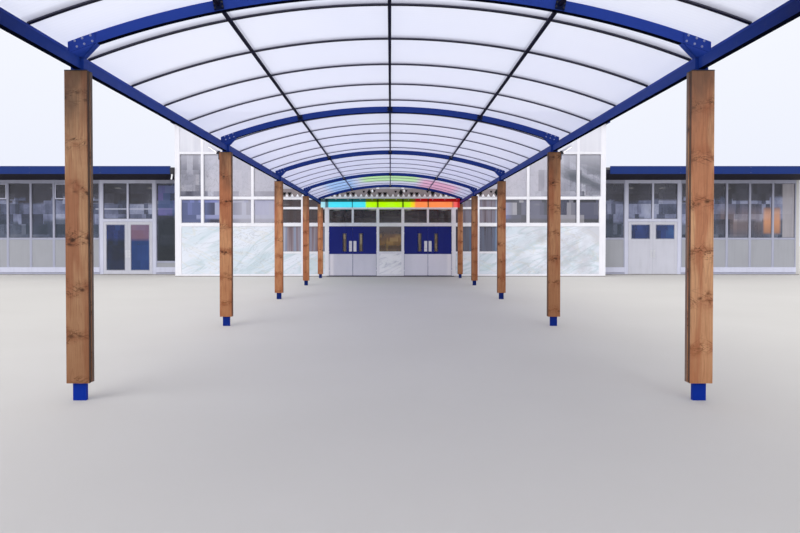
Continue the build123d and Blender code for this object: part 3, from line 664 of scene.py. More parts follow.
# Frieze over the entrance
# A brownish-grey board on the front of the frame. White teeth stand along its lower edge;
# above them pairs of black triangles alternate with black lozenges and small white ones.
dress(weathered_paint("frieze_board_paint", (0.23, 0.195, 0.205), (0.13, 0.11, 0.12), 0.55, 0.6),
      "frieze_board")
enamel = Finish("dark_enamel", 0.5, specular=0.1)
black_enamel = enamel.coat(enamel.cloud(14.0, 3.0).mix((0.004, 0.004, 0.007),
                                                       (0.014, 0.012, 0.014)))
frieze_low, frieze_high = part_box("frieze_board")
triangle = Pattern("frieze_triangles", Radius=0.06, Thickness=0.006, Flip=0.0, Swap=0.0)
odd = triangle.add("GeometryNodeInputIndex").step("MODULO", 2.0)
prism = triangle.add("GeometryNodeMeshCylinder", {"Vertices": 3, "Radius": triangle["Radius"],
                                                  "Depth": triangle["Thickness"]})
upright = triangle.add("GeometryNodeTransform",
                       {"Geometry": prism,
                        "Rotation": (math.radians(90), math.radians(-90), 0.0)})
spin = triangle.step_of(Y=(triangle["Flip"] + odd * triangle["Swap"]) * math.pi)
triangle.end(triangle.add("GeometryNodeInstanceOnPoints", {"Points": triangle["Geometry"],
                                                           "Instance": upright,
                                                           "Rotation": spin}))


def triangles(name, places, radius, flip, swap, material, slot):
    """Flat triangles pinned to the board's face at (x, z) places."""
    thickness = 0.006
    points = [(x, frieze_low.y - thickness / 2, z) for x, z in places]
    grown(f"frieze_{name}", drawn_mesh("places", points), triangle, material, slot,
          Radius=radius, Thickness=thickness, Flip=flip, Swap=swap)


tooth_radius = 0.080
tooth_pitch = 0.225
tooth_count = int((frieze_high.x - frieze_low.x) / tooth_pitch)
tooth_first = -tooth_pitch * (tooth_count - 1) / 2
tooth_z = frieze_low.z + tooth_radius / 2
dart_radius = 0.104
dart_z = tooth_z + 0.090
small_dart_radius = 0.070
small_dart_rises = {3: 0.085, 5: 0.120}
lozenge_radius = 0.100
lozenge_z = frieze_high.z - 0.150
small_radius = 0.052
small_z = frieze_high.z - 0.085
teeth = [(tooth_first + i * tooth_pitch, tooth_z) for i in range(tooth_count)]
darts = []
small_darts = []
lozenges = []
small_lozenges = []
for i, (x, z) in enumerate(teeth[:-1]):
    x += tooth_pitch / 2
    member = i % 6
    if member in (0, 1):
        darts.append((x, dart_z))
    elif member in small_dart_rises:
        small_darts.append((x, dart_z + small_dart_rises[member]))
    elif member == 4:
        beside = x + tooth_pitch * 0.6
        for half in (0.5, -0.5):
            lozenges.append((x, lozenge_z + half * lozenge_radius))
            small_lozenges.append((beside, small_z + half * small_radius))
triangles("teeth", teeth, tooth_radius, 0.0, 0.0, white_frame, "white_frame")
triangles("darts", darts, dart_radius, 1.0, 0.0, black_enamel, "dark_steel")
triangles("small_darts", small_darts, small_dart_radius, 1.0, 0.0, black_enamel, "dark_steel")
triangles("lozenges", lozenges, lozenge_radius, 0.0, 1.0, black_enamel, "dark_steel")
triangles("small_lozenges", small_lozenges, small_radius, 0.0, 1.0, white_frame, "white_frame")

# Side walls, end walls and roofs
# Masonry with a fine render, ribbed above the wings. The flat roofs are covered with
# mineral felt in lapped strips, edged with blue boards whose joints have cover strips.
fine_render = Finish("fine_render", 0.9, specular=0.3)
drips = fine_render.cloud(5.0, 5.0, (1.0, 1.0, 0.05)).span(0.55, 0.75, 0.0, 0.4)
tone = fine_render.cloud(0.8, 5.0, (1.0, 1.0, 0.4)).mix((0.50, 0.48, 0.46), (0.62, 0.61, 0.60))
tone = tone.under((drips, (0.33, 0.32, 0.31)))
dress(fine_render.coat(tone, fine_render.cloud(220.0, 3.0), 0.0022), "hall_side_walls",
      "wing_end_walls")


def felt_finish(name, dark, light):
    """Mineral felt, gritty and patched by standing water."""
    felt = Finish(name, 0.92, specular=0.25)
    grit = felt.cloud(300.0, 2.0)
    pond = felt.cloud(0.16, 3.0).seam(0.012) * 0.25
    tone = felt.cloud(0.5, 5.0).mix(dark, light).under((pond, (0.22, 0.21, 0.19)),
                                                       (grit.span(0.55, 0.7), (0.26, 0.26, 0.26)))
    return felt.coat(tone, grit, 0.0015)


felt_dark = (0.075, 0.078, 0.085)
felt_light = (0.17, 0.17, 0.175)
dress(felt_finish("roof_felt", felt_dark, felt_light), "hall_roof")
lap_felt = felt_finish("lap_felt", (0.055, 0.057, 0.063), (0.12, 0.12, 0.125))
wing_roof = Finish("wing_roof", 0.85, specular=0.2)
soffit_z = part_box("wing_roofs")[0].z + 0.30
# Painted shade: the underside and lowest 0.30 m of the wing roofs are painted near black, with
# darker lines every 0.30 m
painted_soffit_shade = wing_roof.cloud(3.0, 3.0).mix((0.014, 0.013, 0.026), (0.026, 0.024, 0.040))
painted_soffit_shade = painted_soffit_shade.under((wing_roof.x.lines(0.30, 0.016), (0.006, 0.006, 0.012)))
felt_top = wing_roof.cloud(0.5, 5.0).mix(felt_dark, felt_light)
tone = painted_soffit_shade.under((wing_roof.z.span(soffit_z, soffit_z + 0.01), felt_top))
dress(wing_roof.coat(tone, wing_roof.cloud(300.0, 2.0), 0.0012), "wing_roofs")
fascia_blue = weathered_paint("fascia_blue", (0.007, 0.028, 0.165), (0.018, 0.035, 0.10), 0.42,
                              0.35, 0.2)
dress(fascia_blue, "roof_fascia", "wing_fascias")


def block(x_ends, y_ends, z_ends):
    """The lowest and highest corner of a block, from its ends along each axis."""
    ends = [sorted(x_ends), sorted(y_ends), sorted(z_ends)]
    return Vector([low for low, high in ends]), Vector([high for low, high in ends])


def slab_mesh(boxes, edge=0.0008):
    """One mesh of flat plates with lightly rounded edges."""
    shape = bmesh.new()
    for low, high in boxes:
        for vertex in bmesh.ops.create_cube(shape, size=1.0)["verts"]:
            for axis in range(3):
                middle = (low[axis] + high[axis]) / 2
                vertex.co[axis] = middle + vertex.co[axis] * (high[axis] - low[axis])
    if edge:
        bmesh.ops.bevel(shape, geom=list(shape.edges), offset=edge, segments=1, affect="EDGES")
    return baked(shape)


lap_width = 0.10
lap_height = 0.004
lap_pitch = 1.0
lap_margin = 0.02
for roof, boxes in (("hall_roof", [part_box("hall_roof")]), ("wing_roofs", solids("wing_roofs"))):
    laps = []
    for low, high in boxes:
        for i in range(1, int((high.x - low.x) / lap_pitch) + 1):
            x = low.x + i * lap_pitch
            if x + lap_width < high.x:
                laps.append(block((x, x + lap_width), (low.y + lap_margin, high.y - lap_margin),
                                  (high.z, high.z + lap_height)))
    plain_piece(f"{roof}_felt_laps", slab_mesh(laps), lap_felt)

strip_half = 0.045 / 2
strip_depth = 0.003
strip_pitch = 3.09
trim_overhang = 0.006
trim_width = 0.05
trim_height = 0.012
fascia_low, fascia_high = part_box("roof_fascia")
places = [(i * strip_pitch, fascia_low, fascia_high) for i in range(-2, 3)]
trims = []
for low, high in solids("wing_fascias"):
    places += [(low.x + i * (high.x - low.x) / 3, low, high) for i in (1, 2)]
    trims.append(block((low.x, high.x), (low.y - trim_overhang, low.y + trim_width),
                       (high.z, high.z + trim_height)))
strips = [block((x - strip_half, x + strip_half), (low.y - strip_depth, low.y), (low.z, high.z))
          for x, low, high in places]
plain_piece("fascia_cover_strips", slab_mesh(strips), fascia_blue)
plain_piece("fascia_top_trims", slab_mesh(trims, 0.002), fascia_blue)

# Screws of the cover strips
# Hexagonal heads on washers in zinc-plated steel, square to the face that each one holds.
# The same heads in other sizes and colours hold everything else.
stud = Pattern("studs", Radius=0.01, Height=0.008)
head = stud.add("GeometryNodeMeshCylinder", {"Vertices": 6, "Radius": stud["Radius"],
                                             "Depth": stud["Height"]})
washer = stud.add("GeometryNodeMeshCylinder", {"Vertices": 16, "Radius": stud["Radius"] * 1.5,
                                               "Depth": stud["Height"] * 0.30})
crown = stud.add("GeometryNodeMeshCone", {"Vertices": 6, "Radius Top": stud["Radius"] * 0.65,
                                          "Radius Bottom": stud["Radius"] * 0.99,
                                          "Depth": stud["Height"] * 0.25})
whole = stud.add("GeometryNodeJoinGeometry")
for part, rise in ((head, 0.5), (washer, 0.15), (crown, 0.99)):
    stud.feed(whole.socket.node.inputs[0], stud.lifted(part, stud["Height"] * rise))
aim = stud.add("GeometryNodeInputNamedAttribute", {"Name": "turn"}, data_type="FLOAT_VECTOR")
stud.end(stud.add("GeometryNodeInstanceOnPoints", {"Points": stud["Geometry"],
                                                   "Instance": whole, "Rotation": aim}))


def studs(name, spots, radius, height, material, slot="bar_metal", body=structure):
    """Bolt or screw heads at spots of a place and a direction."""
    seed = drawn_mesh("spots", [tuple(place) for place, aim in spots])
    turns = seed.attributes.new("turn", "FLOAT_VECTOR", "POINT")
    for item, (place, aim) in zip(turns.data, spots):
        item.vector = Vector(Vector(aim).to_track_quat("Z", "Y").to_euler())
    grown(name, seed, stud, material, slot, body, Radius=radius, Height=height)


galvanised = Finish("galvanised_steel", 0.42, 0.85)
dirt = galvanised.cloud(30.0, 4.0)
spangle = galvanised.add("ShaderNodeTexVoronoi", {"Vector": galvanised.place, "Scale": 240.0})
tone = spangle.mix((0.70, 0.70, 0.74), (0.50, 0.50, 0.54))
zinc = galvanised.coat(tone.under((dirt.span(0.55, 0.75, 0.0, 0.5), (0.24, 0.22, 0.20))),
                       rough=dirt.span(0.3, 0.7, 0.34, 0.55))
to_front = (0, -1, 0)
studs("fascia_strip_screws",
      [(((low.x + high.x) / 2, low.y, low.z + share * (high.z - low.z)), to_front)
       for low, high in strips for share in (0.18, 0.82)],
      radius=0.005, height=0.003, material=zinc)

# Rainwater hopper in the gap between the hall and the left wing's fascia
# A dark sheet-metal box that widens upwards under a rim, with a short white spout.
dark_sheet = weathered_paint("dark_sheet_metal", (0.030, 0.030, 0.040), (0.07, 0.065, 0.065),
                             0.5, 0.5, 0.3)
wing_roof_low, wing_roof_high = min(solids("wing_roofs"), key=lambda box: box[0].x)
left_fascia = min(solids("wing_fascias"), key=lambda box: box[0].x)
hopper_x = (wing_roof_high.x + left_fascia[1].x) / 2
hopper_back = wing_roof_low.y
hopper_top = wing_roof_high.z - 0.03
hopper_foot = hopper_top - 0.37
hopper = []
for half, depth, z in ((0.045, 0.060, hopper_foot), (0.045, 0.060, hopper_foot + 0.03),
                       (0.078, 0.115, hopper_top - 0.20), (0.078, 0.115, hopper_top - 0.035),
                       (0.086, 0.124, hopper_top - 0.03), (0.086, 0.124, hopper_top)):
    hopper.append([(hopper_x + side * half, hopper_back - out * depth, z)
                   for side, out in ((-1, 1), (1, 1), (1, 0), (-1, 0))])
plain_piece("rain_hopper", skinned(hopper), dark_sheet)
pipe = 0.032
rim = 0.038
spout_reach = 0.16
spout_drop = 0.13
spout_lean = math.radians(-22)
spout = turned_mesh([(pipe, 0.0), (pipe, 0.20), (rim, 0.205), (rim, 0.235), (pipe, 0.24)])
spout_foot = (hopper_x, hopper_back - spout_reach, hopper_foot - spout_drop)
moved_mesh(spout, spout_foot, spout_lean, "X")
white_plastic = weathered_paint("white_plastic", (0.80, 0.80, 0.82), (0.55, 0.54, 0.52), 0.35)
plain_piece("rain_spout", spout, white_plastic)

# Frames, glass and panels of the wings
# The same white members as the hall's, painted greyer as painted shade of the overhang, with
# tall panes over low panels and a hung sash in two of the upper lights.
# Painted shade: the wing frames and door frames are painted greyer than the hall's white
wing_frame = weathered_paint("wing_frame_paint", (0.40, 0.41, 0.52), (0.27, 0.27, 0.34), 0.45)
wing_door_frame = weathered_paint("wing_door_frame_paint", (0.60, 0.61, 0.74),
                                  (0.40, 0.40, 0.48), 0.45)
dress(wing_frame, "wing_frames")
dress(wing_door_frame, "wing_door_jambs", "wing_door_heads")
dress(weathered_paint("wing_panel_paint", (0.355, 0.36, 0.395), (0.26, 0.26, 0.28), 0.45),
      "wing_panels")
wing = window_glass("wing_window_glass",
                    [(0.0, (0.036, 0.040, 0.060)), (0.30, (0.085, 0.10, 0.16)),
                     (0.50, (0.18, 0.20, 0.32)), (0.70, (0.34, 0.37, 0.54)),
                     (1.0, (0.58, 0.61, 0.76))], (2.6, 2.2), 0.25, 0.35)
drift = wing.z + wing.patches(1.8, 0.6).span(0.0, 1.0, -0.18, 0.18)
# A warm display and a room on the right, a blue one next to the hall, a blind at the end
warm = wing.z.span(1.8, 3.05).ramp((0.0, (0.42, 0.20, 0.11)), (0.45, (0.78, 0.36, 0.18)),
                                   (0.8, (0.70, 0.38, 0.24)), (1.0, (0.30, 0.17, 0.14)))
room = wing.patches(3.2, 1.2).mix((0.06, 0.045, 0.05), (0.34, 0.24, 0.22))
blue_room = wing.patches(3.0, 3.0).ramp((0.0, (0.04, 0.04, 0.06)), (0.4, (0.08, 0.14, 0.36)),
                                        (0.7, (0.18, 0.16, 0.46)), (1.0, (0.14, 0.36, 0.48)))
blue_room = blue_room.under((drift.fade(2.35, 2.65), (0.020, 0.026, 0.036)))
blind_folds = wing.cloud(9.0, 2.0, (1.0, 1.0, 0.02)).span(0.3, 0.7, 0.80, 0.95)
# Darker at the head and along the sill; the thin pale strip across the left wing's panes is a
# painted reflection
tone = wing.tone.under(
    (drift.span(3.30, 3.42, 0.0, 0.85), (0.052, 0.046, 0.052)),
    (drift.span(2.36, 2.50, 0.72, 0.0), (0.034, 0.050, 0.070)),
    (wing.z.within(2.93, 2.985, 0.006) * wing.x.within(-13.2, -9.4, 0.02) * 0.8,
     (0.66, 0.68, 0.84)),
    (wing.x.within(14.6, 16.7, 0.2) * wing.z.within(1.8, 3.0, 0.3) * 0.6, room),
    (wing.x.within(16.72, 17.46, 0.05) * wing.z.within(1.86, 3.02, 0.06) * 0.85, warm),
    (wing.x.within(-10.4, -9.2, 0.02) * 0.85, blue_room),
    (wing.x.within(17.56, 18.4, 0.02) * blind_folds, (0.47, 0.44, 0.47)))
dress(wing.coat(tone), "wing_glass")

leaf_glass = window_glass("leaf_window_glass",
                          [(0.0, (0.012, 0.016, 0.020)), (0.35, (0.020, 0.034, 0.11)),
                           (0.60, (0.030, 0.060, 0.22)), (0.8, (0.045, 0.12, 0.30)),
                           (1.0, (0.30, 0.16, 0.20))], (2.2, 1.5), 0.15, 0.25)
low_half = leaf_glass.z.fade(1.50, 1.66)
left_tone = low_half.mix((0.020, 0.032, 0.13), (0.017, 0.020, 0.017))
right_tone = low_half.mix((0.30, 0.16, 0.21), (0.014, 0.055, 0.21))
left_wing_tone = leaf_glass.x.span(-11.78, -11.70).mix(left_tone, right_tone)
on_left_wing = leaf_glass.x.span(*either_side, 0.65, 0.0)
dress(leaf_glass.coat(leaf_glass.tone.under((on_left_wing, left_wing_tone))),
      "left_wing_leaf_glass_1", "left_wing_leaf_glass_2", "right_wing_leaf_glass_1",
      "right_wing_leaf_glass_2")

wing_middle_y = sum(end.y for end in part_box("wing_frames")) / 2
wing_panes = solids("wing_glass")
wing_sash_width = 0.018
wing_sash_depth = 0.034
beads("wing_window_beads", wing_panes, wing_sash_width, wing_sash_depth, wing_frame,
      "wing_frame", middle_y=wing_middle_y)
beads("wing_window_gaskets", drawn_in(wing_panes, wing_sash_width), gasket_width, gasket_depth,
      gasket, "dark_steel", middle_y=wing_middle_y)
fanlight_sash_width = 0.070
fanlight_sash_depth = 0.040
fanlight_foot = 3.385
fanlight_bays = ((-18.1, -17.1), (-15.0, -13.9))
fanlights = []
for low, high in wing_panes:
    x = (low.x + high.x) / 2
    in_bay = any(start < x < end for start, end in fanlight_bays)
    if in_bay and before((low, high), wing_middle_y):
        fanlights.append(block((low.x, high.x), (low.y, high.y), (fanlight_foot, high.z)))
beads("wing_fanlight_sashes", fanlights, fanlight_sash_width, fanlight_sash_depth,
      wing_door_frame, "wing_frame", middle_y=wing_middle_y)
wing_bead_width = 0.020
beads("wing_panel_beads", solids("wing_panels"), wing_bead_width, panel_bead_depth, wing_frame,
      "wing_frame", middle_y=wing_middle_y)

# Kerb boards of the wings
# Painted boards along the foot of each front, on either side of the doors.
wing_front_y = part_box("wing_frames")[0].y
kerb_thickness = 0.028
kerb_heights = (0.12, 0.35)
beside_post = 0.19
doorway_width = 2.35
right_jamb = max(low.x for low, high in solids("wing_door_jambs"))
next_to_hall = (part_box("corner_posts")[1].x + beside_post, right_jamb - doorway_width)
past_doors = (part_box("wing_door_heads")[1].x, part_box("wing_frames")[1].x)
kerb_depths = (wing_front_y - kerb_thickness, wing_front_y)
kerbs = [block((side * x0, side * x1), kerb_depths, kerb_heights)
         for x0, x1 in (past_doors, next_to_hall) for side in (-1, 1)]
plain_piece("wing_kerb_boards", slab_mesh(kerbs, 0.003), wing_door_frame)

# Ceiling lights of the wings
# Shallow round bowls of opal glass under each roof, two rows of five, seen through the
# windows.
wing_lamp_y = wing_front_y + 1.3
wing_lamp = turned_mesh([(0.10, -0.045), (0.155, -0.035), (0.165, 0.0)])
for label, first_x in (("left", -17.2), ("right", 10.6)):
    lamp = moved_mesh(wing_lamp.copy(), (first_x, wing_lamp_y, wing_roof_low.z))
    line = grown_mesh(lamp, row_pattern, opal_glass, Count=5, StepX=1.65)
    grown(f"{label}_wing_lamps", line, row_pattern, opal_glass, "opal_sheet", Count=2, StepY=2.6)

# Entrance leaves
# Flush steel doors, painted navy, each with a narrow vision slot, a pale laminate kick
# plate below and a satin push plate by the meeting edge.
navy_paint = weathered_paint("navy_door_paint", (0.013, 0.021, 0.185), (0.024, 0.030, 0.150),
                             0.42, 0.25, 0.15)
dress(navy_paint, *[f"entrance_leaf_{number}" for number in range(1, 5)])
kick_finish = Finish("kick_plate_laminate", 0.36, specular=0.4)
scuffs = kick_finish.cloud(40.0, 6.0, (0.25, 1.0, 1.0), 0.7)
# Painted light: the kick plates are lighter on the right, with a painted highlight near the outer
# edges
painted_edge_highlight = abs(kick_finish.x).within(2.42, 2.56, 0.05) * 0.6
tone = kick_finish.cloud(3.0, 4.0, (1.0, 1.0, 0.4)).mix((0.58, 0.57, 0.66), (0.70, 0.69, 0.77))
tone = tone.under((kick_finish.x.span(0.4, 1.0, 0.0, 0.6), (0.86, 0.84, 0.92)),
                  (painted_edge_highlight, (0.94, 0.90, 0.94)),
                  (scuffs.span(0.62, 0.75, 0.0, 0.5), (0.30, 0.29, 0.32)))
laminate = kick_finish.coat(tone, rough=scuffs.span(0.4, 0.7, 0.30, 0.5))
plate_finish = Finish("satin_steel", 0.32, 1.0)
scratches = plate_finish.cloud(60.0, 4.0, (0.04, 1.0, 1.0))
satin_steel = plate_finish.coat(scratches.mix((0.62, 0.62, 0.66), (0.78, 0.78, 0.82)), scratches,
                                0.0002, rough=scratches.span(0.3, 0.7, 0.26, 0.4))
vision_glass = window_glass("vision_glass", [(0.0, (0.05, 0.04, 0.04)), (0.5, (0.24, 0.17, 0.09)),
                                             (1.0, (0.60, 0.48, 0.30))], (4.0, 5.0), 0.10)
leaf_thickness = 0.045
knuckle_radius = 0.007
plate_thickness = 0.0025
kick_margin = 0.006
kick_top = 0.965
push_from_edge = 0.028
push_width = 0.125
push_heights = (1.075, 1.520)
slot_from_edge = 0.345
slot_half = 0.061
slot_depths = (0.018, 0.026)
slot_heights = (1.070, 1.850)
slot_bead_width = 0.011
slot_bead_depth = 0.016
kick_inset = 0.014
push_inset = 0.012


def leaf_plate(name, x_ends, z_ends, face, inset, material, body):
    """A thin plate on a leaf's face, and the spots of its four screws."""
    low, high = box = block(x_ends, (face - plate_thickness, face), z_ends)
    plain_piece(name, slab_mesh([box]), material, body)
    return [((x, low.y, z), to_front) for x in (low.x + inset, high.x - inset)
            for z in (low.z + inset, high.z - inset)]


def plate_screws(name, spots, body):
    """The small screws of a leaf's plates."""
    studs(name, spots, radius=0.004, height=0.0016, material=zinc, body=body)


for number in range(1, 5):
    body = f"entrance_leaf_{number}_body"
    low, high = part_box(f"entrance_leaf_{number}")
    face = high.y - leaf_thickness
    hinge_left = number in (1, 3)
    x0 = low.x + (knuckle_radius if hinge_left else 0.0)
    x1 = high.x - (0.0 if hinge_left else knuckle_radius)
    meeting, inward = (x1, -1) if hinge_left else (x0, 1)
    kick_screws = leaf_plate(f"kick_plate_{number}", (x0 + kick_margin, x1 - kick_margin),
                             (low.z + kick_margin, kick_top), face, kick_inset, laminate,
                             body)
    push_x = meeting + inward * push_from_edge
    push_screws = leaf_plate(f"push_plate_{number}", (push_x, push_x + inward * push_width),
                             push_heights, face, push_inset, satin_steel, body)
    plate_screws(f"plate_screws_{number}", push_screws + kick_screws, body)
    slot_x = meeting + inward * slot_from_edge
    pane = block((slot_x - slot_half, slot_x + slot_half), [face + depth for depth in slot_depths],
                 slot_heights)
    plain_piece(f"vision_pane_{number}", slab_mesh([pane], 0.0), vision_glass.material,
                body)
    beads(f"vision_beads_{number}", [pane], slot_bead_width, slot_bead_depth, navy_paint,
          "blue_steel", body)

jamb_low, jamb_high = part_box("entrance_jambs")
sill_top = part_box("hall_floor")[1].z + 0.0022
sill_front = -jamb_high.y
for name, y_ends, foot in (("entrance_threshold", (sill_front, jamb_high.y), sill_top - 0.0022),
                           ("threshold_nosing", (sill_front - 0.004, sill_front), 0.004)):
    sill = block((jamb_low.x, jamb_high.x), y_ends, (foot, sill_top))
    plain_piece(name, slab_mesh([sill]), dark_sheet)

# Leaves of the wing doors
# White aluminium leaves with pale plates beside the meeting stiles and beads round
# their glass.
leaf_white = weathered_paint("white_door_paint", (0.56, 0.56, 0.63), (0.40, 0.40, 0.45), 0.4)
plate_from_edge = 0.010
plate_width = 0.10
plate_heights = (0.78, 1.12)
pane_cover = 0.007
leaf_bead_width = 0.016
leaf_bead_depth = 0.010
for leaf in ("left_wing_leaf_1", "left_wing_leaf_2", "right_wing_leaf_1", "right_wing_leaf_2"):
    dress(leaf_white, leaf)
    side, number = leaf.split("_wing_leaf_")
    body = f"{leaf}_body"
    low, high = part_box(leaf)
    face = high.y - leaf_thickness
    meeting, inward = (high.x, -1) if number == "1" else (low.x, 1)
    plate_x = meeting + inward * plate_from_edge
    screws = leaf_plate(f"{side}_wing_plate_{number}", (plate_x, plate_x + inward * plate_width),
                        plate_heights, face, push_inset, satin_steel, body)
    plate_screws(f"{side}_wing_plate_screws_{number}", screws, body)
    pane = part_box(f"{side}_wing_leaf_glass_{number}")
    beads(f"{side}_wing_leaf_beads_{number}", drawn_in([pane], pane_cover), leaf_bead_width,
          leaf_bead_depth, leaf_white, "white_leaf", body, gap=0.0002)

# Canopy steel
# Square and rolled hollow sections, powder-coated royal blue, on timber-clad posts. The
# purlins are the same steel in near-black navy. Bolts hold the splices and cleats.
vault_centre_z = -4.630
arch_inner_radius = 8.350
arch_radius = 8.4
beam_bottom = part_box("canopy_posts")[1].z - 0.100
beam_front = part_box("eaves_beams")[0].y
sliver = 0.001
steel = Finish("canopy_blue", 0.55, specular=0.06)
patch = steel.cloud(1.6, 5.0)
dust = steel.cloud(26.0, 5.0, (1.0, 1.0, 0.5)).span(0.60, 0.85, 0.0, 0.18)
from_centre = (steel.x.step("POWER", 2.0)
               + (steel.z - vault_centre_z).step("POWER", 2.0)).step("SQRT")
# Painted shade: the undersides of the beams and arches are overlaid with a near-black diffuse coat
beam_underside_shade = steel.z.within(beam_bottom - sliver, beam_bottom + sliver, 0.0004)
arch_underside_shade = from_centre.within(arch_inner_radius - sliver, arch_inner_radius + sliver, 0.0004)
# Painted light: the arches are painted a brighter, purer blue near the open end than towards the
# hall
arch_painted_light = steel.y.span(-19.0, -14.0).mix((0.028, 0.066, 0.370), (0.022, 0.048, 0.235))
# Painted shade: the steel of the first bay at the open end is painted dark navy
open_end_painted_shade = steel.y.span(beam_front + 4.0, beam_front + 5.4, 0.90, 0.0)
# Darker at the very foot of the posts; painted light makes the feet of the near posts a brighter,
# purer blue
foot = steel.z.fade(0.16, 0.20)
tone = patch.mix((0.010, 0.036, 0.235), (0.018, 0.052, 0.300)).under(
    (dust, (0.14, 0.16, 0.27)),
    (from_centre.span(8.30, 8.34) * 0.85, arch_painted_light),
    (open_end_painted_shade, (0.001, 0.004, 0.055)),
    (foot * 0.7, (0.004, 0.008, 0.060)),
    (foot * steel.y.span(-21.5, -9.0, 0.75, 0.0), (0.004, 0.036, 0.40)))
canopy_blue = steel.coat(tone, steel.cloud(420.0, 1.0), 0.0002, 0.5,
                         patch.span(0.3, 0.7, 0.38, 0.50))
steel.overlay(beam_underside_shade.step("MAXIMUM", arch_underside_shade), "ShaderNodeBsdfDiffuse",
              (0.003, 0.004, 0.012))
dress(canopy_blue, "canopy_posts", "eaves_beams", "canopy_arches")
dress(weathered_paint("purlin_navy", (0.001, 0.001, 0.014), (0.006, 0.006, 0.026), 0.60, 0.35,
                      0.05), "valance_rail")


def on_vault(radius, lean, y):
    """A place over or under the arches, at a radius and a lean from upright."""
    return (radius * math.sin(lean), y, vault_centre_z + radius * math.cos(lean))


arch_half = 0.030
plate_face = 0.038
cleat_face = 0.040
purlin_x = 1.56
purlin_places = (-purlin_x, 0.0, purlin_x)
splice_columns = ((8.377, (2.852, 2.785, 2.712)), (8.432, (2.872, 2.804, 2.729)))
post_rows = sorted({round((low.y + high.y) / 2, 3) for low, high in solids("canopy_posts")})
splice_bolts = []
cleat_bolts = []
for row in post_rows:
    for facing in (-1, 1):
        aim = (0, facing, 0)
        for radius, columns in splice_columns:
            for x in columns:
                z = vault_centre_z + math.sqrt(radius * radius - x * x)
                splice_bolts += [((side * x, row + facing * plate_face, z), aim)
                                 for side in (-1, 1)]
        for x in purlin_places:
            lean = math.asin(x / arch_radius)
            for reach in (-0.035, 0.035):
                for rise in (-0.020, 0.020):
                    place = Vector(on_vault(arch_radius + rise, lean, row + facing * cleat_face))
                    along = Vector((math.cos(lean), 0.0, -math.sin(lean)))
                    cleat_bolts.append((place + along * reach, aim))
painted_bolt = Finish("painted_bolt", 0.5, specular=0.3)
tone = painted_bolt.cloud(120.0, 3.0).mix((0.16, 0.20, 0.42), (0.48, 0.52, 0.66))
studs("splice_bolts", splice_bolts, radius=0.0072, height=0.006, material=painted_bolt.coat(tone))
studs("cleat_bolts", cleat_bolts, radius=0.0065, height=0.005, material=dark_sheet,
      slot="dark_steel")


# Purlins of the canopy
# Small rolled sections in near-black navy, in three lines. Each length is held between two
# arches by a cleat at either end, bolted to the arch's face.
def leaning_slab(x_place, half_width, radii, y_ends):
    """A slab along Y that leans as the vault does over a given place."""
    box = block((-half_width, half_width), y_ends, radii)
    return moved_mesh(slab_mesh([box], 0.001), (0.0, 0.0, vault_centre_z),
                      math.asin(x_place / arch_radius))


def merged(meshes):
    """Several meshes as one."""
    whole = bmesh.new()
    for mesh in meshes:
        whole.from_mesh(mesh)
    return baked(whole)


purlin_half = 0.017
purlin_radii = (8.390, 8.420)
cleat_half = 0.045
cleat_radii = (8.356, 8.444)
purlins = []
cleats = []
canopy_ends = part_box("canopy_purlins")
stops = [canopy_ends[0].y] + post_rows + [canopy_ends[1].y]
for x in purlin_places:
    for start, end in zip(stops, stops[1:]):
        y_ends = (start + (arch_half if start in post_rows else 0.0),
                  end - (arch_half if end in post_rows else 0.0))
        purlins.append(leaning_slab(x, purlin_half, purlin_radii, y_ends))
    for row in post_rows:
        for facing in (-1, 1):
            y_ends = (row + facing * arch_half, row + facing * cleat_face)
            cleats.append(leaning_slab(x, cleat_half, cleat_radii, y_ends))
far_purlin = Finish("far_purlin", 0.60, specular=0.05)
mottle = far_purlin.cloud(24.0, 3.0)
tone = mottle.mix((0.002, 0.002, 0.016), (0.008, 0.008, 0.030))
# Painted light: the purlins are painted paler towards the hall
tone = tone.under((far_purlin.y.span(-14.0, -5.0, 0.0, 0.9), (0.17, 0.17, 0.27)))
purlin_lines = plain_piece("purlin_lines", merged(purlins), far_purlin.coat(tone, mottle, 0.0003))
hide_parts("canopy_purlins")
cleat_navy = weathered_paint("cleat_navy", (0.005, 0.011, 0.050), (0.010, 0.014, 0.030), 0.5,
                             0.35, 0.1)
plain_piece("purlin_cleats", merged(cleats), cleat_navy)

# Gutters of the canopy
# Folded steel sheet with a lip on its inner edge, painted with the arches and seated on
# their ends under the eaves of the roof sheets.
rail_low, rail_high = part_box("edge_rails")
sheet = 0.008
lip = 0.022
gutter_width = 0.060
outer = rail_high.x
inner = outer - gutter_width
foot, top = rail_low.z, rail_high.z
fold = [(inner, foot), (outer, foot), (outer, top), (outer - sheet, top),
        (outer - sheet, foot + sheet), (inner + sheet, foot + sheet), (inner + sheet, foot + lip),
        (inner, foot + lip)]
gutters = merged([skinned([[(side * x, y, z) for x, z in fold] for y in (rail_low.y, rail_high.y)])
                  for side in (-1, 1)])
eaves_gutters = plain_piece("eaves_gutters", gutters, canopy_blue)
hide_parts("edge_rails")

# Glazing bars
# Aluminium bars bent to the vault and carried by the purlins, nearly black below, with painted
# light making them paler towards the hall and a painted highlight on the near edge where daylight
# falls past them.
bars = sorted(solids("glazing_bars"), key=lambda box: box[0].y)
first_bar_y = (bars[0][0].y + bars[0][1].y) / 2
last_bar_y = (bars[-1][0].y + bars[-1][1].y) / 2
bar_pitch = (last_bar_y - first_bar_y) / (len(bars) - 1)
bar_half = (bars[0][1].y - bars[0][0].y) / 2


def from_bar(finish):
    """Distance along the canopy from the nearest bar's middle."""
    step = (finish.y - first_bar_y) / bar_pitch
    return (step - step.step("ROUND")) * bar_pitch


bar = Finish("glazing_bar", 0.55, specular=0.1)
mottle = bar.cloud(40.0, 3.0)
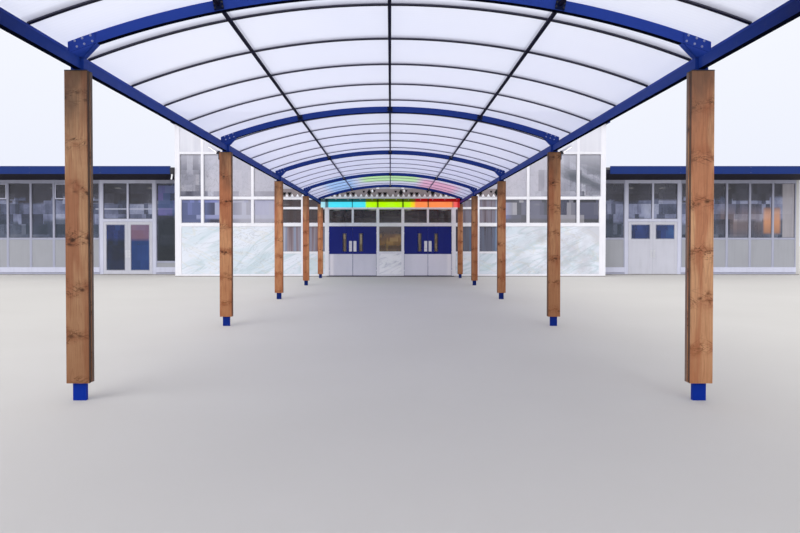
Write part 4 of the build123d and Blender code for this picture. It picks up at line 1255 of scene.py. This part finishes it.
# Painted light paler towards the hall, and a painted highlight along each bar's near edge
tone = mottle.mix((0.003, 0.003, 0.014), (0.012, 0.012, 0.030)).under(
    (bar.y.span(-19.0, -7.0, 0.0, 0.95), (0.26, 0.26, 0.38)),
    (from_bar(bar).span(-bar_half - sliver, -bar_half * 0.7, 0.6, 0.0), (0.14, 0.14, 0.19)))
dress(bar.coat(tone, mottle, 0.0004), "glazing_bars")

# Lamps of the canopy
# A flat cast case with an opal lens, tipped outwards on a steel bracket that is screwed to
# the outer side of each post head in one row.
lamp_y = post_rows[2]
post_face_x = 2.965
lamp_x = 3.075
lamp_z = 3.090
lamp_lean = math.radians(34)
lamp_case = weathered_paint("lamp_case", (0.72, 0.72, 0.78), (0.45, 0.45, 0.48), 0.4)
bracket_parts = ((0.022, 0.030, (2.900, 3.020)), (0.060, 0.018, (3.000, 3.055)))
case = block((-0.092, 0.092), (-0.055, 0.055), (-0.018, 0.018))
lens = block((-0.080, 0.080), (-0.044, 0.044), (-0.024, -0.017))
for side, label in ((-1, "left"), (1, "right")):
    mount = [block((side * post_face_x, side * post_face_x + side * reach),
                   (lamp_y - half, lamp_y + half), z_ends) for reach, half, z_ends in bracket_parts]
    plain_piece(f"{label}_lamp_bracket", slab_mesh(mount, 0.004), dark_sheet)
    for part, box, edge, material, slot in (
            ("case", case, 0.008, lamp_case, "white_frame"),
            ("lens", lens, 0.003, opal_glass, "opal_sheet")):
        mesh = moved_mesh(slab_mesh([box], edge), (side * lamp_x, lamp_y, lamp_z),
                          -side * lamp_lean)
        plain_piece(f"{label}_lamp_{part}", mesh, material)

# Post planks
# Sawn softwood planks, stained a warm brown, on either face of the steel posts. Yellow
# sapwood lies beside redder heart, with rows of spike knots; the heads have weathered.
timber = Finish("stained_timber", 0.62, specular=0.22)
side_sign = timber.x.step("SIGN")
post_pitch = post_rows[1] - post_rows[0]
bay = ((timber.y - post_rows[0]) / post_pitch).step("ROUND")
from_steel = timber.y - (bay * post_pitch + post_rows[0])
# Each plank has its own height for the rows of knots
phase = bay * 0.37 + (side_sign * 0.11 + from_steel.step("SIGN") * 0.17)
knot_height = timber.z + phase * 0.52 + timber.cloud(5.0, 2.0).span(0.3, 0.7, -0.05, 0.05)
whorl = (knot_height / 0.44).step("FRACT").within(0.34, 0.62, 0.10)
spikes = timber.cloud(1.0, 3.0, (5.0, 5.0, 17.0), 0.5, 24, 0.6).seam(0.022)
cross_spikes = timber.cloud(1.0, 3.0, (4.0, 4.0, 15.0), 0.5, -20, 0.8).seam(0.020)
knots = timber.add("ShaderNodeTexVoronoi", {"Vector": timber.stretched((10.0, 10.0, 13.0)),
                                            "Scale": 1.0, "Randomness": 1.0})
smudge = timber.cloud(7.0, 4.0, (1.0, 1.0, 0.9), 0.6)
# Heart and sapwood, with the grain of the saw cut
heart = timber.cloud(1.0, 3.0, (5.5, 5.5, 0.75), 0.5).span(0.48, 0.56)
sapwood = timber.cloud(26.0, 4.0, (1.0, 1.0, 0.05)).mix((0.50, 0.262, 0.132),
                                                        (0.67, 0.385, 0.210))
heartwood = timber.cloud(34.0, 4.0, (1.0, 1.0, 0.05)).mix((0.38, 0.152, 0.074),
                                                          (0.52, 0.235, 0.122))
wander = timber.cloud(1.0, 3.0, (6.0, 6.0, 0.5)) * 11.0
rings = ((timber.x + timber.y) * 26.0 + wander).step("FRACT")
fibre = timber.cloud(95.0, 5.0, (1.0, 1.0, 0.035), 0.6)
# Weathered heads, and painted shade on the sides that face each other under the canopy
head = timber.z + timber.cloud(5.0, 4.0, (1.6, 1.6, 0.5)).span(0.3, 0.7, -0.35, 0.35)
plank_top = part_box("post_planks")[1].z
inner_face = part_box("post_planks")[1].x - 0.210
inner_side = abs(timber.x).fade(inner_face + 0.0004, inner_face + 0.0012)
plank_side_painted_shade = from_steel.fade(-0.001, 0.005).mix((0.135, 0.105, 0.092), (0.040, 0.024, 0.017))
tone = heart.mix(sapwood, heartwood).under(
    (rings.span(0.70, 0.95, 0.0, 0.30), (0.22, 0.085, 0.040)),
    (fibre.span(0.45, 0.72, 0.0, 0.38), (0.21, 0.095, 0.045)),
    (smudge.span(0.45, 0.62) * whorl.span(0.0, 1.0, 0.16, 0.75), (0.27, 0.080, 0.034)),
    (spikes.step("MAXIMUM", cross_spikes) * whorl.span(0.2, 1.0, 0.0, 0.95),
     (0.085, 0.030, 0.013)),
    (knots.span(0.14, 0.34, 0.95, 0.0) * whorl.span(0.5, 1.0), (0.060, 0.024, 0.012)),
    (timber.z.span(0.2, 1.5, 0.55, 0.0), (0.29, 0.110, 0.042)),
    (head.span(2.25, 3.05, 0.0, 0.72), (0.120, 0.072, 0.048)),
    (inner_side * 0.82, plank_side_painted_shade))
# Painted light and shade: the near posts are brighter on the right, the far ones on the left; the
# far ones are also redder
far_post = bay.span(1.0, 2.0)
painted_side_light = (far_post.rest() * side_sign.span(-1.0, 1.0, 0.76, 1.29)
              + far_post * side_sign.span(-1.0, 1.0, 1.09, 0.93))
shade = painted_side_light * (bay * 0.41).step("FRACT").span(0.0, 1.0, 1.04, 0.90)
tone = tone.times(timber.add("ShaderNodeCombineColor",
                             {"Red": shade, "Green": shade, "Blue": shade}))
tone = tone.under((far_post, tone.times((1.0, 0.88, 0.80))))
splits = timber.cloud(55.0, 2.0, (1.0, 1.0, 0.012), 0.4).span(0.66, 0.72, 0.0, 2.0)
dress(timber.coat(tone, fibre + rings * 0.5 - splits, 0.0014), "post_planks")

# Caps of the post planks
# Dark sheet-metal plates over the end grain of each plank, under the beams, put there as painted
# shade of the dark gap below the beams.
caps = [block((low.x, high.x), (low.y, high.y), (high.z, high.z + 0.010))
        for low, high in solids("post_planks") if high.z > plank_top - 0.01]
plain_piece("plank_head_shadow_caps", slab_mesh(caps, 0.002), dark_sheet)

# Roof sheets
# Opal twin-wall sheets bent to the arch and clamped to the bars by caps. Daylight comes
# through them evenly; the walls inside them show as fine stripes; the last bay is tinted.
opal = Finish("opal_sheet", 0.30)
flutes = abs((opal.y / 0.050).step("FRACT") - 0.5).span(0.38, 0.5)
off_bar = from_bar(opal)
bar_shadow = off_bar.span(-0.125, -0.020, 0.0, 0.54) * off_bar.fade(-0.021, -0.019)
off_crown = abs(opal.x)
purlin_shadow = off_crown.within(purlin_x - 0.012, purlin_x + 0.018, 0.012).step(
    "MAXIMUM", off_crown.within(-0.02, 0.014, 0.012))
# Painted shadows of the bars and purlins, and painted shade making the sheets greyer and bluer
# towards the hall
tone = opal.cloud(0.45, 4.0).mix((0.88, 0.90, 0.99), (0.97, 0.98, 1.0)).under(
    (flutes * 0.12, (0.62, 0.62, 0.74)),
    (opal.y.span(-21.0, -8.0, 0.0, 0.48), (0.66, 0.67, 0.88)),
    (bar_shadow * opal.y.span(-19.0, -9.0, 1.0, 0.30), (0.26, 0.26, 0.32)),
    (purlin_shadow * 0.42, (0.30, 0.30, 0.38)))
for tint, x_ends, y_ends, share in (((0.36, 0.66, 1.0), (-2.35, -1.35), (-5.3, -0.5), 0.6),
                                    ((0.62, 1.0, 0.36), (-1.05, 1.05), (-4.9, -2.4), 0.65),
                                    ((1.0, 0.46, 0.64), (1.15, 2.50), (-3.9, -0.5), 0.6)):
    inside = opal.x.within(*x_ends, 0.16) * opal.y.within(*y_ends, 0.25)
    tone = tone.under((inside * share, tint))
dress(opal.coat(tone), "roof_sheets")
opal.overlay(0.66, "ShaderNodeBsdfTranslucent", tone)
opal.overlay(0.26, "ShaderNodeBsdfTransparent", (0.93, 0.93, 1.0))

# Caps of the glazing bars
# Flat mill-finish aluminium strips bent over the bars and the edges of the sheets, each
# pulled down by a row of screws.
cap_height = 0.008
cap_half_span = 2.998
cap_radius = 8.4783 + cap_height / 2
cap_lean = math.asin(cap_half_span / cap_radius)
cap_steps = 32
cap = Pattern("bar_caps", Width=0.04, Height=0.008, Count=2, Step=1.0)
cap.end(cap.row(cap.swept(cap["Width"], cap["Height"], True), cap.step_of(Y=cap["Step"])))
cap_points = [on_vault(cap_radius, -cap_lean + 2 * cap_lean * i / cap_steps, first_bar_y)
              for i in range(cap_steps + 1)]
cap_line = drawn_mesh("cap_line", cap_points, [(i, i + 1) for i in range(cap_steps)])
cap_finish = weathered_paint("cap_aluminium", (0.46, 0.46, 0.50), (0.28, 0.28, 0.30), 0.4)
grown("glazing_bar_caps", cap_line, cap, cap_finish, "bar_metal", Width=cap_height, Height=0.040,
      Count=len(bars), Step=bar_pitch)
screws_per_cap = 19
screwed_share = 0.96
screw_radius = cap_radius + cap_height / 2 - 0.0003
cap_screws = []
for i in range(len(bars)):
    for j in range(screws_per_cap):
        lean = cap_lean * screwed_share * (2 * j / (screws_per_cap - 1) - 1)
        place = on_vault(screw_radius, lean, first_bar_y + i * bar_pitch)
        cap_screws.append((place, (math.sin(lean), 0, math.cos(lean))))
studs("cap_screws", cap_screws, radius=0.006, height=0.004, material=zinc)

# Edge trims of the roof sheets
# Thin aluminium strips that close the sheets' flutes along both eaves.
sheet_low, sheet_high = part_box("roof_sheets")
sheet_radius = 8.478
trim_radius = 8.4702
edge_lean = math.asin((sheet_high.x + 0.002) / sheet_radius)
for side, label in ((-1, "left"), (1, "right")):
    trim = slab_mesh([block((-0.010, 0.004), (sheet_low.y, sheet_high.y), (-0.013, 0.013))], 0.001)
    if side < 0:
        for vertex in trim.vertices:
            vertex.co.x *= -1
        trim.flip_normals()
    moved_mesh(trim, on_vault(trim_radius, side * edge_lean, 0.0), side * edge_lean)
    plain_piece(f"sheet_edge_trim_{label}", trim, cap_finish)

# Coloured valance
# A translucent sheet hung across the last pair of posts. It runs from cyan through green
# to orange and rose. Painted shade darkens it along the rail that holds it, fine darker lines cross
# it, and a faint painted glow stands for the daylight through it.
hue = Finish("coloured_valance", 0.45, specular=0.08)
valance_low, valance_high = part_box("colour_valance")
tone = hue.x.span(valance_low.x, valance_high.x).ramp(
    (0.0, (0.62, 0.90, 0.93)), (0.028, (0.50, 0.86, 0.90)), (0.036, (0.10, 0.20, 0.24)),
    (0.050, (0.10, 0.24, 0.28)), (0.058, (0.12, 0.84, 0.92)), (0.318, (0.10, 0.82, 0.90)),
    (0.328, (0.60, 0.96, 0.0)), (0.64, (0.60, 0.95, 0.0)), (0.652, (0.90, 0.80, 0.01)),
    (0.672, (0.96, 0.68, 0.02)), (0.684, (0.98, 0.38, 0.10)), (0.942, (0.97, 0.38, 0.12)),
    (0.950, (0.42, 0.16, 0.10)), (0.960, (0.97, 0.20, 0.16)), (0.978, (0.96, 0.16, 0.15)),
    (0.988, (0.60, 0.015, 0.020)), (1.0, (0.55, 0.02, 0.03)))
tone = tone.under((hue.cloud(3.0, 3.0).span(0.4, 0.7, 0.0, 0.04), (0.9, 0.9, 0.9)))
# Painted shade: the strip along the rail is painted dark, deep red on the right
painted_rail_shade = tone.times((0.16, 0.15, 0.14)).under((hue.x.span(0.98, 1.06), (0.42, 0.008, 0.008)))
tone = tone.under((hue.z.span(3.100, 3.120), painted_rail_shade))
for dark_line_x, half in ((-1.545, 0.022), (-0.514, 0.040), (0.514, 0.040), (1.545, 0.030)):
    tone = tone.under((hue.x.within(dark_line_x - half, dark_line_x + half, 0.006),
                       tone.times((0.28, 0.32, 0.30))))
dress(hue.coat(tone), "colour_valance")
# Painted light: a faint glow stands for the daylight coming through the sheet
hue.glow(tone, 0.50)
hue.overlay(0.35, "ShaderNodeBsdfTranslucent", tone)
end_gap = 0.12
screw_count = 12
screw_pitch = (valance_high.x - valance_low.x - 2 * end_gap) / (screw_count - 1)
studs("valance_screws", [((valance_low.x + end_gap + i * screw_pitch, valance_low.y,
                           valance_high.z - 0.050), to_front) for i in range(screw_count)],
      radius=0.009, height=0.005, material=zinc)
